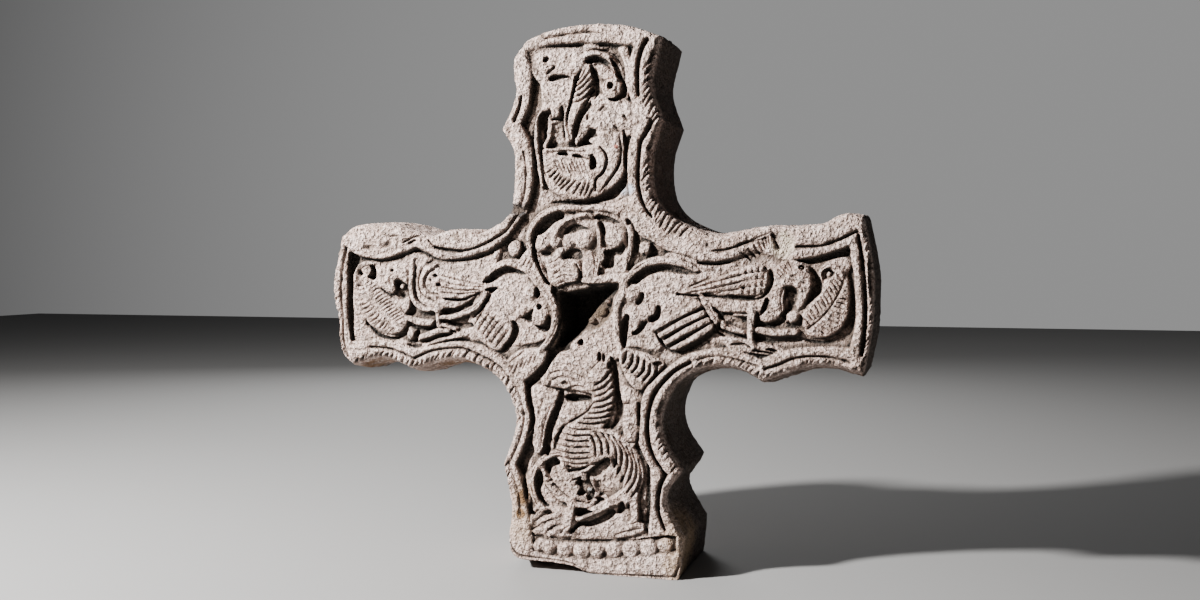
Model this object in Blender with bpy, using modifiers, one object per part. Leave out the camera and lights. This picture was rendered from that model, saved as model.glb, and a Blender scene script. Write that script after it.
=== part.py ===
"""A carved stone cross-head: four hollow-sided arms edged with a double roll, and beasts, birds
and leaves left standing in the sunk field of its front.

The stone stands on its foot. Its origin is on the underside, below the middle of the shaft, with
the carved front towards -Y and +Z up. Sizes are in metres.

The outline and the carving are free forms, so they are drawn on a sheet: millimetres measured on
the front of the stone, x from the middle of the shaft and z up from the foot. The sheet is laid
on the stone by HEAD_HEIGHT and HEAD_SPAN.
"""

import math

import bmesh
import bpy
import numpy as np

# The stone
HEAD_HEIGHT = 0.838
HEAD_SPAN = 0.857
FOOT_THICKNESS = 0.205
CROWN_THICKNESS = 0.165
SIDE_BULGE = 0.004
UNDERSIDE_BULGE = 0.013

# The carving. The arris is where the outer roll meets the side, as a share of the field's depth,
# and the carving is taken up over RELIEF_REACH of the thickness.
FIELD_DEPTH = 0.012
BACK_FIELD_DEPTH = 0.008
ROLL_WIDTH = 0.0155
ARRIS_HEIGHT = 0.5
RELIEF_REACH = 0.2

# The break at the crossing and the break under the left of the foot
SOCKET_DEPTH = 0.075
FOOT_BREAK_REACH = 0.085

# How finely the stone is meshed
VOXEL = 0.0026
TRIANGLES = 9400
CURVE_STEPS = 9

# What the sheet was drawn for
SHEET_HEIGHT = 838.0
SHEET_SPAN = 857.0

STONE_COLOUR = (0.50, 0.445, 0.395, 1.0)
STONE_ROUGHNESS = 0.92

# The edge of the front, run by run, clockwise from the foot. Each run is one smooth curve, and
# two runs meet in a corner or a cusp.
OUTLINE = {
    "foot_break": [(2, 0), (-22, 13), (-60, 18), (-108, 21), (-124, 34), (-129, 54)],
    "lower_left_end": [(-129, 54), (-125, 100), (-138, 163)],
    "lower_left_throat": [
        (-138, 163), (-121, 208), (-118, 240), (-128, 271), (-150, 299), (-185, 319), (-225, 326),
        (-290, 308),
    ],
    "left_underside": [(-290, 308), (-345, 325), (-396, 311)],
    "left_end": [(-396, 311), (-417, 338), (-421, 385), (-430, 433), (-422, 485), (-413, 519)],
    "left_worn_top": [
        (-413, 519), (-386, 536), (-336, 538), (-297, 528), (-258, 518), (-236, 526), (-198, 526),
        (-178, 520),
    ],
    "upper_left_throat": [(-178, 520), (-128, 551), (-118, 610), (-120, 652), (-138, 682)],
    "upper_left_end": [(-138, 682), (-116, 734), (-119, 765), (-117, 793), (-98, 817)],
    "crown": [(-98, 817), (-60, 831), (-5, 838), (60, 833), (113, 815)],
    "upper_right_end": [(113, 815), (98, 748), (115, 690)],
    "upper_right_throat": [
        (115, 690), (101, 650), (98, 612), (104, 577), (122, 551), (152, 533), (192, 519),
        (232, 523), (276, 531),
    ],
    "right_worn_top": [(276, 531), (312, 529), (352, 533), (382, 547), (411, 544)],
    "right_end": [(411, 544), (424, 480), (427, 430), (424, 375), (413, 318)],
    "right_underside": [(413, 318), (345, 330), (268, 304)],
    "lower_right_throat": [
        (268, 304), (235, 321), (200, 326), (165, 317), (137, 296), (119, 262), (114, 230),
        (122, 200), (145, 165),
    ],
    "lower_right_end": [(145, 165), (120, 120), (149, 62)],
    "foot_right": [(149, 62), (146, 28), (136, 0)],
}

# Where the rolls run along the tops of the side arms, inside edges that have worn back.
MOULDED_TOPS = {
    "left_worn_top": [(-413, 533), (-345, 510), (-285, 527), (-250, 515), (-215, 510), (-178, 519)],
    "right_worn_top": [(276, 535), (340, 518), (411, 542)],
}
UNMOULDED = ("foot_break", "foot_right")

# The broken socket at the crossing, as it opens on the front.
SOCKET = [
    (-51, 436), (-20, 437), (20, 446), (52, 447), (39, 424), (34, 402), (14, 379), (-8, 371),
    (-24, 356), (-47, 340), (-58, 344), (-47, 372), (-52, 405),
]


def smooth_curve(points, closed=False, steps=CURVE_STEPS):
    """A Catmull-Rom curve through the points, as an array of places on the sheet."""
    knots = np.array(points, float)
    if closed:
        knots = np.vstack([knots[-1], knots, knots[:2]])
    else:
        knots = np.vstack([2 * knots[0] - knots[1], knots, 2 * knots[-1] - knots[-2]])
    share = np.linspace(0, 1, steps, endpoint=False)[:, None]
    pieces = []
    for before, start, end, after in zip(knots, knots[1:], knots[2:], knots[3:]):
        pieces.append(
            start
            + 0.5 * share * (end - before)
            + share**2 * (before - 2.5 * start + 2 * end - 0.5 * after)
            + share**3 * (1.5 * (start - end) + 0.5 * (after - before))
        )
    if not closed:
        pieces.append(knots[-2:-1])
    return np.vstack(pieces)


def joined_runs(runs):
    return np.vstack([smooth_curve(run)[:-1] for run in runs])


def stone_outline():
    return joined_runs(OUTLINE.values())


def moulded_edge():
    """The line that the rolls follow, open at the foot."""
    runs = {**OUTLINE, **MOULDED_TOPS}
    return joined_runs(run for name, run in runs.items() if name not in UNMOULDED)


def distance_to(line, x, z, closed=False):
    """How far each place is from a line, in millimetres, with how far along the line it is."""
    ends = np.roll(line, -1, axis=0) if closed else line[1:]
    starts = line if closed else line[:-1]
    nearest = np.full(x.shape, np.inf)
    along = np.zeros(x.shape)
    lengths = np.hypot(*(ends - starts).T)
    passed = np.concatenate([[0.0], np.cumsum(lengths)])
    for (ax, az), (bx, bz), length, done in zip(starts, ends, lengths, passed):
        if length == 0:
            continue
        share = ((x - ax) * (bx - ax) + (z - az) * (bz - az)) / length**2
        share = np.clip(share, 0, 1)
        far = np.hypot(x - ax - share * (bx - ax), z - az - share * (bz - az))
        closer = far < nearest
        nearest = np.where(closer, far, nearest)
        along = np.where(closer, (done + share * length) / passed[-1], along)
    return nearest, along


def inside(line, x, z):
    """Which places a closed line goes round."""
    found = np.zeros(x.shape, bool)
    for (ax, az), (bx, bz) in zip(line, np.roll(line, -1, axis=0)):
        if az == bz:
            continue
        crosses = (az > z) != (bz > z)
        found ^= crosses & (x < ax + (z - az) * (bx - ax) / (bz - az))
    return found


def rise(value, start, end):
    """A smooth step from 0 at start to 1 at end."""
    share = np.clip((value - start) / (end - start), 0, 1)
    return share * share * (3 - 2 * share)


def half_round(offset, radius):
    return np.sqrt(np.clip(1 - (offset / radius) ** 2, 0, 1))


class Relief:
    """The standing height of a carving, from 0 on the sunk field to 1 level with the rolls."""

    def __init__(self, x, z):
        self.x = x
        self.z = z
        self.height = np.zeros(x.shape)
        self.cut = np.zeros(x.shape)

    def near(self, line, margin):
        low = line.min(axis=0) - margin
        high = line.max(axis=0) + margin
        return np.flatnonzero(
            (self.x > low[0]) & (self.x < high[0]) & (self.z > low[1]) & (self.z < high[1])
        )

    def raise_to(self, where, height):
        self.height[where] = np.maximum(self.height[where], height)

    def bar(self, points, widths, height=0.9, closed=False):
        """A rounded bar along a curve. Its width goes from the first of widths to the last."""
        line = smooth_curve(points, closed)
        where = self.near(line, max(widths))
        far, along = distance_to(line, self.x[where], self.z[where], closed)
        half = np.interp(along, np.linspace(0, 1, len(widths)), widths) / 2
        self.raise_to(where, height * np.sqrt(half_round(far, half)))

    def plate(self, points, height=0.85, edge=5.0, crown=0.1):
        """A shape with a smooth outline, rounded off over edge and a little higher inside."""
        line = smooth_curve(points, closed=True)
        where = self.near(line, 1.0)
        x, z = self.x[where], self.z[where]
        far, _ = distance_to(line, x, z, closed=True)
        far = np.where(inside(line, x, z), far, 0)
        lift = (height - crown) * np.sqrt(rise(far, 0, edge)) + crown * rise(far, 0, 3 * edge)
        self.raise_to(where, lift)

    def boss(self, centre, across, height=0.9):
        """A round or oval pellet."""
        wide, tall = across if isinstance(across, tuple) else (across, across)
        far = np.hypot((self.x - centre[0]) / wide, (self.z - centre[1]) / tall) * 2
        where = np.flatnonzero(far < 1)
        self.raise_to(where, height * np.sqrt(half_round(far[where], 1)))

    def groove(self, points, width=5.0, depth=0.3):
        line = smooth_curve(points)
        where = self.near(line, width)
        far, _ = distance_to(line, self.x[where], self.z[where])
        self.cut[where] = np.maximum(self.cut[where], depth * np.clip(1 - 2 * far / width, 0, 1))

    def hatching(self, first_side, second_side, count, width=5.0, depth=0.3):
        """Straight cuts in a row, each from one side curve to the other."""
        starts = smooth_curve(first_side)
        ends = smooth_curve(second_side)
        for share in np.linspace(0, 1, count):
            start = starts[round(share * (len(starts) - 1))]
            end = ends[round(share * (len(ends) - 1))]
            self.groove([start, end], width, depth)


def carve_rolls(relief):
    """The two rolls along the moulded edge, and the worn shoulder outside them."""
    edge = moulded_edge()
    roll = ROLL_WIDTH * 1000
    far, _ = distance_to(edge, relief.x, relief.z)
    kept = inside(edge, relief.x, relief.z)
    crest = np.maximum(half_round(far - roll / 2, roll / 2), half_round(far - 1.5 * roll, roll / 2))
    rolls = ARRIS_HEIGHT + (1 - ARRIS_HEIGHT) * crest
    rolls = rolls * (1 - rise(far, 1.9 * roll, 2.15 * roll))
    shoulder = 0.9 - 0.04 * far
    relief.height = np.maximum(relief.height, np.where(kept, rolls, shoulder))


def carve_upper_beast(relief):
    """A beast that looks back over its shoulder, above a fan-shaped leaf."""
    relief.plate(
        [
            (-84, 786), (-70, 797), (-42, 796), (-14, 790), (-22, 768), (-42, 762), (-66, 763),
            (-84, 772),
        ],
    )
    relief.bar([(-8, 786), (-12, 752), (-26, 720), (-30, 688), (-26, 664)], [20, 28, 20, 17, 15])
    relief.bar([(-8, 788), (16, 790), (38, 780), (46, 758)], [12, 14, 13, 9])
    relief.boss((37, 743), 33)
    relief.plate(
        [(0, 712), (18, 722), (46, 720), (64, 704), (62, 682), (40, 674), (10, 678), (-6, 694)],
        crown=0.2,
    )
    relief.bar([(-2, 700), (-12, 682), (-16, 656)], [20, 17, 14])
    relief.bar(
        [(-62, 712), (-78, 702), (-84, 682), (-82, 648), (-74, 620), (-62, 598)], [8, 9, 9, 8],
    )
    relief.bar([(-58, 705), (-40, 704)], [16, 16], 0.8)
    relief.plate([
        (-72, 644), (-50, 655), (-14, 652), (4, 662), (28, 674), (56, 672), (57, 640), (54, 612),
        (38, 591), (12, 578), (-20, 575), (-48, 585), (-66, 606), (-73, 625),
    ])
    relief.groove([(-60, 642), (-34, 642), (-2, 636)], 7, 0.5)
    relief.groove([(25, 648), (31, 630), (26, 612), (14, 604)], 5, 0.35)
    relief.hatching([(-44, 590), (-20, 582), (8, 582)], [(-26, 610), (-4, 604), (16, 600)], 7)
    relief.hatching([(-22, 730), (-24, 752), (-12, 778)], [(2, 738), (2, 758), (-2, 782)], 5)


def carve_left_bird(relief):
    """A bird facing the end of the arm, before a curled leaf and standing on a branch."""
    relief.plate([
        (-391, 448), (-387, 418), (-378, 393), (-360, 373), (-334, 363), (-310, 366), (-301, 382),
        (-306, 402), (-328, 416), (-350, 428), (-366, 444), (-376, 458),
    ])
    relief.bar([(-388, 444), (-387, 462), (-372, 473), (-356, 469), (-352, 458)], [12, 12, 11, 10])
    relief.plate(
        [(-334, 452), (-330, 468), (-314, 478), (-298, 474), (-292, 456), (-300, 446), (-318, 446)],
    )
    relief.bar([(-330, 456), (-326, 440), (-314, 428)], [13, 10, 7])
    relief.plate([
        (-298, 452), (-290, 418), (-274, 402), (-252, 396), (-226, 402), (-196, 416), (-176, 430),
        (-154, 441), (-182, 452), (-212, 461), (-238, 472), (-264, 476), (-288, 470),
    ], crown=0.2)
    relief.groove([(-254, 468), (-272, 460), (-276, 442), (-266, 429), (-252, 427)], 5, 0.3)
    relief.hatching(
        [(-240, 430), (-238, 444), (-236, 460)], [(-186, 432), (-168, 439), (-186, 450)], 4,
    )
    relief.bar([(-258, 404), (-250, 378)], [18, 9])
    relief.bar(
        [(-302, 392), (-284, 381), (-256, 383), (-230, 384), (-205, 394), (-186, 412), (-176, 432)],
        [13, 12, 11, 11, 10],
    )
    relief.bar([(-290, 368), (-293, 358)], [16, 16])
    relief.bar([(-276, 353), (-258, 362), (-224, 371)], [12, 14, 10])


def carve_crossing(relief):
    """Stems, berries and leaves round the crossing."""
    relief.bar(
        [
            (-166, 446), (-152, 465), (-128, 476), (-102, 470), (-78, 446), (-62, 416), (-48, 388),
            (-54, 362),
        ],
        [13, 12, 12, 12, 12, 10],
    )
    relief.bar(
        [
            (-98, 470), (-97, 514), (-86, 540), (-62, 557), (-30, 562), (16, 558), (52, 548),
            (72, 528), (64, 500), (62, 470),
        ],
        [12, 12, 13, 14, 22, 22, 16, 14, 13, 12],
    )
    relief.bar([(-62, 488), (-50, 526), (-22, 545), (12, 545)], [12, 11, 11, 10])
    relief.boss((-68, 509), (34, 27))
    relief.boss((-118, 498), (21, 25))
    relief.boss((-28, 506), 30)
    relief.boss((3, 515), 30)
    relief.boss((44, 518), 31)
    relief.boss((90, 501), 22)
    relief.bar([(-60, 500), (-56, 470), (-44, 448)], [18, 22, 26])
    relief.bar([(-34, 480), (-22, 455)], [14, 22])
    relief.bar([(2, 505), (-2, 478), (2, 450)], [12, 16, 26])
    relief.bar([(20, 540), (17, 500), (16, 462)], [9, 9, 10])
    relief.bar(
        [(8, 458), (34, 455), (66, 458), (92, 474), (124, 479), (152, 470), (168, 458)],
        [15, 15, 15, 14, 14, 16],
    )
    relief.bar([(50, 446), (48, 420), (46, 396)], [18, 22, 10])
    relief.bar([(50, 398), (47, 372), (56, 348)], [9, 10, 9])
    relief.boss((75, 424), 20, 0.7)
    relief.boss((82, 405), 30)
    relief.boss((103, 403), 24)
    relief.boss((72, 382), 26)
    relief.boss((-97, 428), 20, 0.6)
    relief.boss((-80, 392), (30, 34))
    relief.plate(
        [(-193, 384), (-168, 409), (-144, 404), (-122, 386), (-126, 362), (-142, 343), (-164, 350)],
    )
    relief.hatching([(-182, 384), (-152, 352)], [(-160, 404), (-130, 376)], 4, 6, 0.4)
    relief.plate([
        (-112, 330), (-92, 342), (-64, 350), (-58, 336), (-70, 312), (-96, 290), (-112, 296), (-120, 312),
    ])
    relief.plate(
        [(48, 352), (64, 346), (94, 338), (116, 328), (108, 314), (94, 292), (84, 284), (62, 312)],
    )
    relief.hatching(
        [(54, 338), (70, 342), (92, 336), (112, 326)], [(58, 322), (68, 310), (78, 298), (88, 288)],
        7,
    )


def carve_right_bird(relief):
    """A bird facing the end of the arm and biting a leaf, its tail spread behind it."""
    relief.plate(
        [
            (152, 431), (184, 450), (224, 468), (252, 473), (272, 463), (277, 446), (264, 431),
            (240, 426), (190, 428),
        ],
    )
    relief.plate(
        [
            (184, 424), (196, 404), (222, 394), (262, 392), (290, 400), (300, 428), (292, 446),
            (278, 440), (262, 424), (230, 420),
        ],
        crown=0.2,
    )
    relief.plate(
        [
            (280, 440), (276, 466), (292, 480), (318, 480), (336, 466), (338, 446), (328, 440),
            (312, 446), (296, 440),
        ],
    )
    relief.bar([(334, 450), (330, 434), (322, 420)], [14, 11, 7])
    relief.hatching([(158, 434), (186, 436)], [(234, 464), (268, 440)], 4)
    relief.bar([(256, 404), (257, 362)], [18, 11])
    relief.bar([(268, 394), (288, 398), (298, 412), (301, 434)], [9, 10, 10, 10])
    relief.bar([(260, 376), (284, 379), (320, 386)], [12, 13, 12])
    relief.boss((306, 400), 19)
    relief.bar([(196, 396), (216, 382), (240, 378)], [12, 12, 12])
    relief.bar([(204, 366), (232, 362), (262, 352), (286, 346)], [9, 10, 11, 9], 0.75)
    relief.plate([
        (326, 404), (332, 420), (352, 436), (356, 462), (368, 474), (386, 470), (395, 440),
        (393, 402), (383, 376), (362, 364), (340, 366), (326, 382),
    ])
    relief.groove([(336, 382), (360, 402), (378, 428), (387, 456)], 6, 0.4)
    for feather in range(4):
        across, down = 7 * feather, 9 * feather
        relief.bar([(112 + across, 372 - down), (174 + 1.1 * across, 413 - down)], [11, 11])


def carve_lower_beast(relief):
    """A seated beast with a ribbed coat, its tail curled forward under it."""
    relief.plate([
        (-74, 292), (-66, 306), (-54, 326), (-34, 336), (-6, 334), (18, 338), (30, 318), (22, 296),
        (4, 276), (-20, 272), (-44, 278), (-60, 288),
    ], crown=0.2)
    relief.bar([(30, 320), (36, 290), (28, 250), (8, 222)], [22, 36, 40, 44])
    relief.plate([
        (6, 262), (-24, 238), (-48, 216), (-54, 190), (-44, 168), (-18, 156), (6, 164), (22, 182),
        (40, 178), (38, 158), (52, 136), (72, 122), (86, 136), (86, 176), (70, 206), (40, 222), (26, 240),
    ], crown=0.25)
    relief.hatching(
        [(2, 270), (-8, 246), (-36, 226), (-48, 200), (-42, 170)],
        [(38, 292), (40, 250), (22, 224), (10, 200), (8, 168)], 14,
    )
    relief.hatching(
        [(16, 206), (40, 176), (50, 148), (66, 128)], [(44, 218), (68, 200), (82, 170), (84, 136)],
        9,
    )
    relief.bar([(-46, 178), (-72, 166), (-86, 138), (-82, 110), (-66, 92)], [9, 11, 12, 11, 10])
    relief.bar([(-74, 158), (-58, 128), (-28, 108), (2, 104), (14, 116)], [7, 7, 7, 7])
    relief.bar([(-42, 164), (-36, 120), (-28, 94), (-34, 66)], [20, 18, 14, 16])
    relief.bar([(10, 182), (20, 160), (12, 130)], [12, 11, 14])
    relief.bar([(66, 128), (52, 112), (20, 96), (-14, 80)], [30, 20, 15, 12])
    relief.boss((50, 102), 18)
    relief.bar([(74, 132), (76, 100), (70, 72)], [24, 18, 18])
    relief.bar([(30, 70), (52, 80), (74, 76)], [10, 14, 14])
    relief.bar([(-84, 66), (-60, 76), (-34, 66), (-8, 64), (40, 64)], [10, 14, 14, 12, 12], 0.8)
    relief.bar([(-62, 286), (-74, 262), (-80, 230), (-84, 190), (-84, 168)], [14, 10, 9, 9])
    relief.bar([(66, 282), (66, 250), (64, 206)], [28, 22, 18], 0.75)


def carve_pellet_row(relief):
    """The ledge above the foot, and the row of pellets along the sunk band below it."""
    ledge = smooth_curve([
        (-130, 57), (-87, 55), (-63, 49), (-19, 47), (24, 49), (68, 55), (94, 62), (150, 66),
    ])
    level = np.interp(relief.x, ledge[:, 0], ledge[:, 1])
    below = level - relief.z
    relief.height = np.maximum(relief.height, 0.72 * rise(below, -3, 1) - 0.4 * rise(below, 3, 7))
    relief.height = np.maximum(relief.height, 0.8 * rise(below, 24, 30))
    pellets = [
        (-80, 18, 17), (-62, 13, 22), (-37, 13, 23), (-11, 13, 24), (13, 14, 19), (42, 12, 24),
        (68, 13, 24), (96, 15, 25), (123, 14, 22),
    ]
    for across, drop, size in pellets:
        middle = np.interp(across, ledge[:, 0], ledge[:, 1]) - drop
        relief.boss((across, middle), (size, 0.9 * size), 0.95)


def front_depth(x, z):
    """How far below the crests of the rolls the front is cut, in shares of FIELD_DEPTH."""
    relief = Relief(x, z)
    carve_rolls(relief)
    carve_upper_beast(relief)
    carve_left_bird(relief)
    carve_crossing(relief)
    carve_right_bird(relief)
    carve_lower_beast(relief)
    carve_pellet_row(relief)
    return 1 - relief.height + relief.cut


def back_depth(x, z):
    """The plainer back: the same rolls round a plain sunk field with a boss at the crossing."""
    relief = Relief(x, z)
    carve_rolls(relief)
    relief.boss((0, 418), 96)
    return 1 - relief.height


def clear_scene():
    for obj in list(bpy.data.objects):
        bpy.data.objects.remove(obj, do_unlink=True)


def new_collection(name, hidden=False):
    collection = bpy.data.collections.new(name)
    bpy.context.scene.collection.children.link(collection)
    collection.hide_render = hidden
    return collection


def on_stone(points):
    """Places on the sheet, as metres across and up the stone."""
    return np.array(points, float) * (HEAD_SPAN / SHEET_SPAN, HEAD_HEIGHT / SHEET_HEIGHT)


def thickness_at(height):
    return FOOT_THICKNESS + (CROWN_THICKNESS - FOOT_THICKNESS) * height / HEAD_HEIGHT


def upright_block(name, points, front, back, collection):
    """A block with an outline drawn on the sheet, from y = front to y = back."""
    curve = bpy.data.curves.new(name, "CURVE")
    curve.dimensions = "2D"
    curve.fill_mode = "BOTH"
    curve.extrude = (back - front) / 2
    spline = curve.splines.new("POLY")
    places = on_stone(points)
    spline.points.add(len(places) - 1)
    for point, (across, up) in zip(spline.points, places):
        point.co = (across, up, 0, 1)
    spline.use_cyclic_u = True
    drawn = bpy.data.objects.new(name + "_drawn", curve)
    collection.objects.link(drawn)
    drawn.rotation_euler = (math.pi / 2, 0, 0)
    drawn.location = (0, (front + back) / 2, 0)
    bpy.context.view_layer.update()
    mesh = bpy.data.meshes.new_from_object(drawn.evaluated_get(bpy.context.evaluated_depsgraph_get()))
    mesh.transform(drawn.matrix_world)
    bpy.data.objects.remove(drawn, do_unlink=True)
    welded = bmesh.new()
    welded.from_mesh(mesh)
    bmesh.ops.remove_doubles(welded, verts=welded.verts, dist=1e-6)
    bmesh.ops.recalc_face_normals(welded, faces=welded.faces)
    welded.to_mesh(mesh)
    welded.free()
    block = bpy.data.objects.new(name, mesh)
    collection.objects.link(block)
    return block


def as_cutter(obj):
    obj.hide_render = True
    obj.display_type = "WIRE"
    return obj


def cut(target, cutter, name):
    modifier = target.modifiers.new(name, "BOOLEAN")
    modifier.operation = "DIFFERENCE"
    modifier.object = cutter


def apply_modifiers(obj):
    graph = bpy.context.evaluated_depsgraph_get()
    mesh = bpy.data.meshes.new_from_object(obj.evaluated_get(graph))
    obj.modifiers.clear()
    obj.data = mesh


def socket_cutter(front, collection):
    """The hole broken into the crossing, narrowing unevenly as it goes in."""
    opening = smooth_curve(SOCKET, closed=True, steps=3)
    cutter = upright_block("socket_break", opening, front - 0.02, front + SOCKET_DEPTH, collection)
    middle = on_stone([(-2, 398)])[0]
    deep = front + SOCKET_DEPTH / 2
    for vertex in cutter.data.vertices:
        if vertex.co.y > deep:
            vertex.co.x = middle[0] + 0.62 * (vertex.co.x - middle[0]) - 0.004
            vertex.co.z = middle[1] + 0.62 * (vertex.co.z - middle[1]) + 0.003
    return as_cutter(cutter)


def foot_break_cutter(front, collection):
    """The corner broken from under the left of the foot: high at the front, gone at its reach."""
    broken = smooth_curve(OUTLINE["foot_break"])
    around = np.array([(-160.0, 54.0), (-160.0, -30.0), (2.0, -30.0)])
    back = front + FOOT_BREAK_REACH
    cutter = upright_block("foot_break", np.vstack([broken, around]), front - 0.02, back, collection)
    for vertex in cutter.data.vertices:
        if vertex.co.y > back - 0.01:
            vertex.co.z = min(vertex.co.z, 0) - 0.004
    return as_cutter(cutter)


def trim_flat(obj):
    """Cuts the stone off level at z = 0 and closes the underside."""
    shape = bmesh.new()
    shape.from_mesh(obj.data)
    everything = shape.verts[:] + shape.edges[:] + shape.faces[:]
    cut_edges = bmesh.ops.bisect_plane(
        shape, geom=everything, plane_co=(0, 0, 0), plane_no=(0, 0, -1), clear_outer=True
    )
    rim = [item for item in cut_edges["geom_cut"] if isinstance(item, bmesh.types.BMEdge)]
    bmesh.ops.edgeloop_fill(shape, edges=rim)
    bmesh.ops.triangulate(shape, faces=shape.faces)
    bmesh.ops.recalc_face_normals(shape, faces=shape.faces)
    shape.to_mesh(obj.data)
    shape.free()


def full_outline():
    """The outline before the foot broke, carried a little below the ground for a clean cut."""
    runs = dict(OUTLINE)
    runs["foot_break"] = [(100, -8), (-60, -8), (-122, -8), (-128, 24), (-129, 54)]
    runs["foot_right"] = [(149, 62), (146, 28), (138, -8), (100, -8)]
    return joined_runs(runs.values())


def outward_normals(line, x, z):
    """The direction out of the outline at the point of it nearest to each place."""
    ends = np.roll(line, -1, axis=0)
    middles = (line + ends) / 2
    along = ends - line
    normals = np.stack([-along[:, 1], along[:, 0]], axis=1)
    normals /= np.hypot(*normals.T)[:, None]
    if inside(line, *(middles + normals).T[:, :1]).any():
        normals = -normals
    nearest = np.array([np.argmin((middles[:, 0] - a) ** 2 + (middles[:, 1] - b) ** 2) for a, b in zip(x, z)])
    return normals[nearest]


def shape_stone(mesh, outline, front):
    """Moves the block's points: the taper, the swelling sides, and the carving of both faces."""
    points = np.empty(len(mesh.vertices) * 3, np.float32)
    mesh.vertices.foreach_get("co", points)
    points = points.reshape(-1, 3).astype(float)
    scale = on_stone([(1, 1)])[0]
    x, z = points[:, 0] / scale[0], points[:, 2] / scale[1]
    depth = np.clip((points[:, 1] - front) / FOOT_THICKNESS, 0, 1)

    edge, _ = distance_to(outline, x, z, closed=True)
    on_side = edge < 1000 * VOXEL
    normals = outward_normals(outline, x[on_side], z[on_side])
    swell = SIDE_BULGE + (UNDERSIDE_BULGE - SIDE_BULGE) * np.clip(-normals[:, 1], 0, 1) ** 2
    swell = swell * np.sin(math.pi * depth[on_side])
    swell = swell * rise(z[on_side], 20, 80)
    points[on_side, 0] += normals[:, 0] * swell
    points[on_side, 2] += normals[:, 1] * swell

    points[:, 1] = front + depth * thickness_at(points[:, 2])
    near_front = np.flatnonzero(depth < RELIEF_REACH)
    sunk = FIELD_DEPTH * front_depth(x[near_front], z[near_front])
    points[near_front, 1] += sunk * (1 - depth[near_front] / RELIEF_REACH)
    near_back = np.flatnonzero(depth > 1 - RELIEF_REACH)
    sunk = BACK_FIELD_DEPTH * back_depth(x[near_back], z[near_back])
    points[near_back, 1] -= sunk * (1 - (1 - depth[near_back]) / RELIEF_REACH)
    mesh.vertices.foreach_set("co", points.astype(np.float32).ravel())
    mesh.update()


def stone_material():
    material = bpy.data.materials.new("weathered_stone")
    material.use_nodes = True
    shader = material.node_tree.nodes["Principled BSDF"]
    shader.inputs["Base Color"].default_value = STONE_COLOUR
    shader.inputs["Roughness"].default_value = STONE_ROUGHNESS
    shader.inputs["Metallic"].default_value = 0.0
    return material


def build_cross_head(parts, cutters):
    front = -FOOT_THICKNESS / 2
    outline = full_outline()
    stone = upright_block("cross_head", outline, front, -front, parts)
    cut(stone, socket_cutter(front, cutters), "socket")
    cut(stone, foot_break_cutter(front, cutters), "foot_break")
    apply_modifiers(stone)

    remesh = stone.modifiers.new("even_mesh", "REMESH")
    remesh.mode = "VOXEL"
    remesh.voxel_size = VOXEL
    apply_modifiers(stone)
    shape_stone(stone.data, outline, front)

    faces = sum(len(face.vertices) - 2 for face in stone.data.polygons)
    thin = stone.modifiers.new("fewer_faces", "DECIMATE")
    thin.ratio = TRIANGLES / faces
    apply_modifiers(stone)
    trim_flat(stone)
    stone.data.materials.clear()
    stone.data.materials.append(stone_material())
    return stone


def main():
    clear_scene()
    parts = new_collection("stone_cross_head")
    cutters = new_collection("cutters", hidden=True)
    build_cross_head(parts, cutters)


main()
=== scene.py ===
"""A carved stone cross-head in pale weathered limestone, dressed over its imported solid.

The outline and the carving are drawn on a sheet: millimetres on the front of the stone, x from
the middle of the shaft and z up from the foot. Levels count down from the crests of the rolls.
"""

import math

import bpy
import numpy as np
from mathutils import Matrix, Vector


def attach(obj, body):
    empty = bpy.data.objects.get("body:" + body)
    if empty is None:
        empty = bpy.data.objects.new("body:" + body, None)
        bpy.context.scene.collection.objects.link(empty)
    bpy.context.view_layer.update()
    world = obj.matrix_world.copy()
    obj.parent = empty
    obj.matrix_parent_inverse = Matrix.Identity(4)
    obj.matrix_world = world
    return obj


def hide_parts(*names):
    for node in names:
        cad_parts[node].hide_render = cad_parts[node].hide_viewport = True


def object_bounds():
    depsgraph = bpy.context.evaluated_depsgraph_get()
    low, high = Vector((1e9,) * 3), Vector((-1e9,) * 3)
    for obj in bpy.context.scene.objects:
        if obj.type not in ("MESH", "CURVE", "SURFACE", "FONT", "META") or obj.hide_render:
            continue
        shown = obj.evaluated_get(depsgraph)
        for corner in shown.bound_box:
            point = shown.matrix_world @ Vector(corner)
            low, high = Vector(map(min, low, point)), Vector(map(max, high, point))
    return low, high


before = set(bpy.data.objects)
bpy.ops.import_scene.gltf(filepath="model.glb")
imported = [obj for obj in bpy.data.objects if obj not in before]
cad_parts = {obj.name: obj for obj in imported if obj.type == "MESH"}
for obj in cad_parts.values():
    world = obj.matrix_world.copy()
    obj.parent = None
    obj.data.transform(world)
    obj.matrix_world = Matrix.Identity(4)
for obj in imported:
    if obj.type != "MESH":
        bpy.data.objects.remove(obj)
bpy.ops.object.select_all(action="DESELECT")
cad_low, cad_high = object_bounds()

# The stone, in metres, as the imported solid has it
FOOT_THICKNESS = 0.205
CROWN_THICKNESS = 0.165
HEAD_HEIGHT = 0.838
SIDE_SWELL = 0.004
UNDERSIDE_SWELL = 0.013
SOCKET_DEPTH = 0.075
FOOT_BREAK_REACH = 0.085
FRONT = -FOOT_THICKNESS / 2

# The share of the thickness that the carving of a face reaches into, and the width of the
# hollow at its end as a share of its mouth
RELIEF_REACH = 0.2
SOCKET_TAPER = 0.62

# How finely it is meshed. The block is squeezed from front to back while it is meshed, because
# its sides are plainer than its faces.
GRAIN = 0.0013
SQUEEZE = 0.4
TRIANGLES = 196000

# The sheet's own grid, in millimetres
SHEET_LEFT, SHEET_RIGHT, SHEET_LOW, SHEET_HIGH = -446, 446, -12, 852

# Points that a smooth curve gets from each drawn point to the next, and how many where cuts
# are spaced out along it
STEPS = 7
FINE_STEPS = 24

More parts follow.
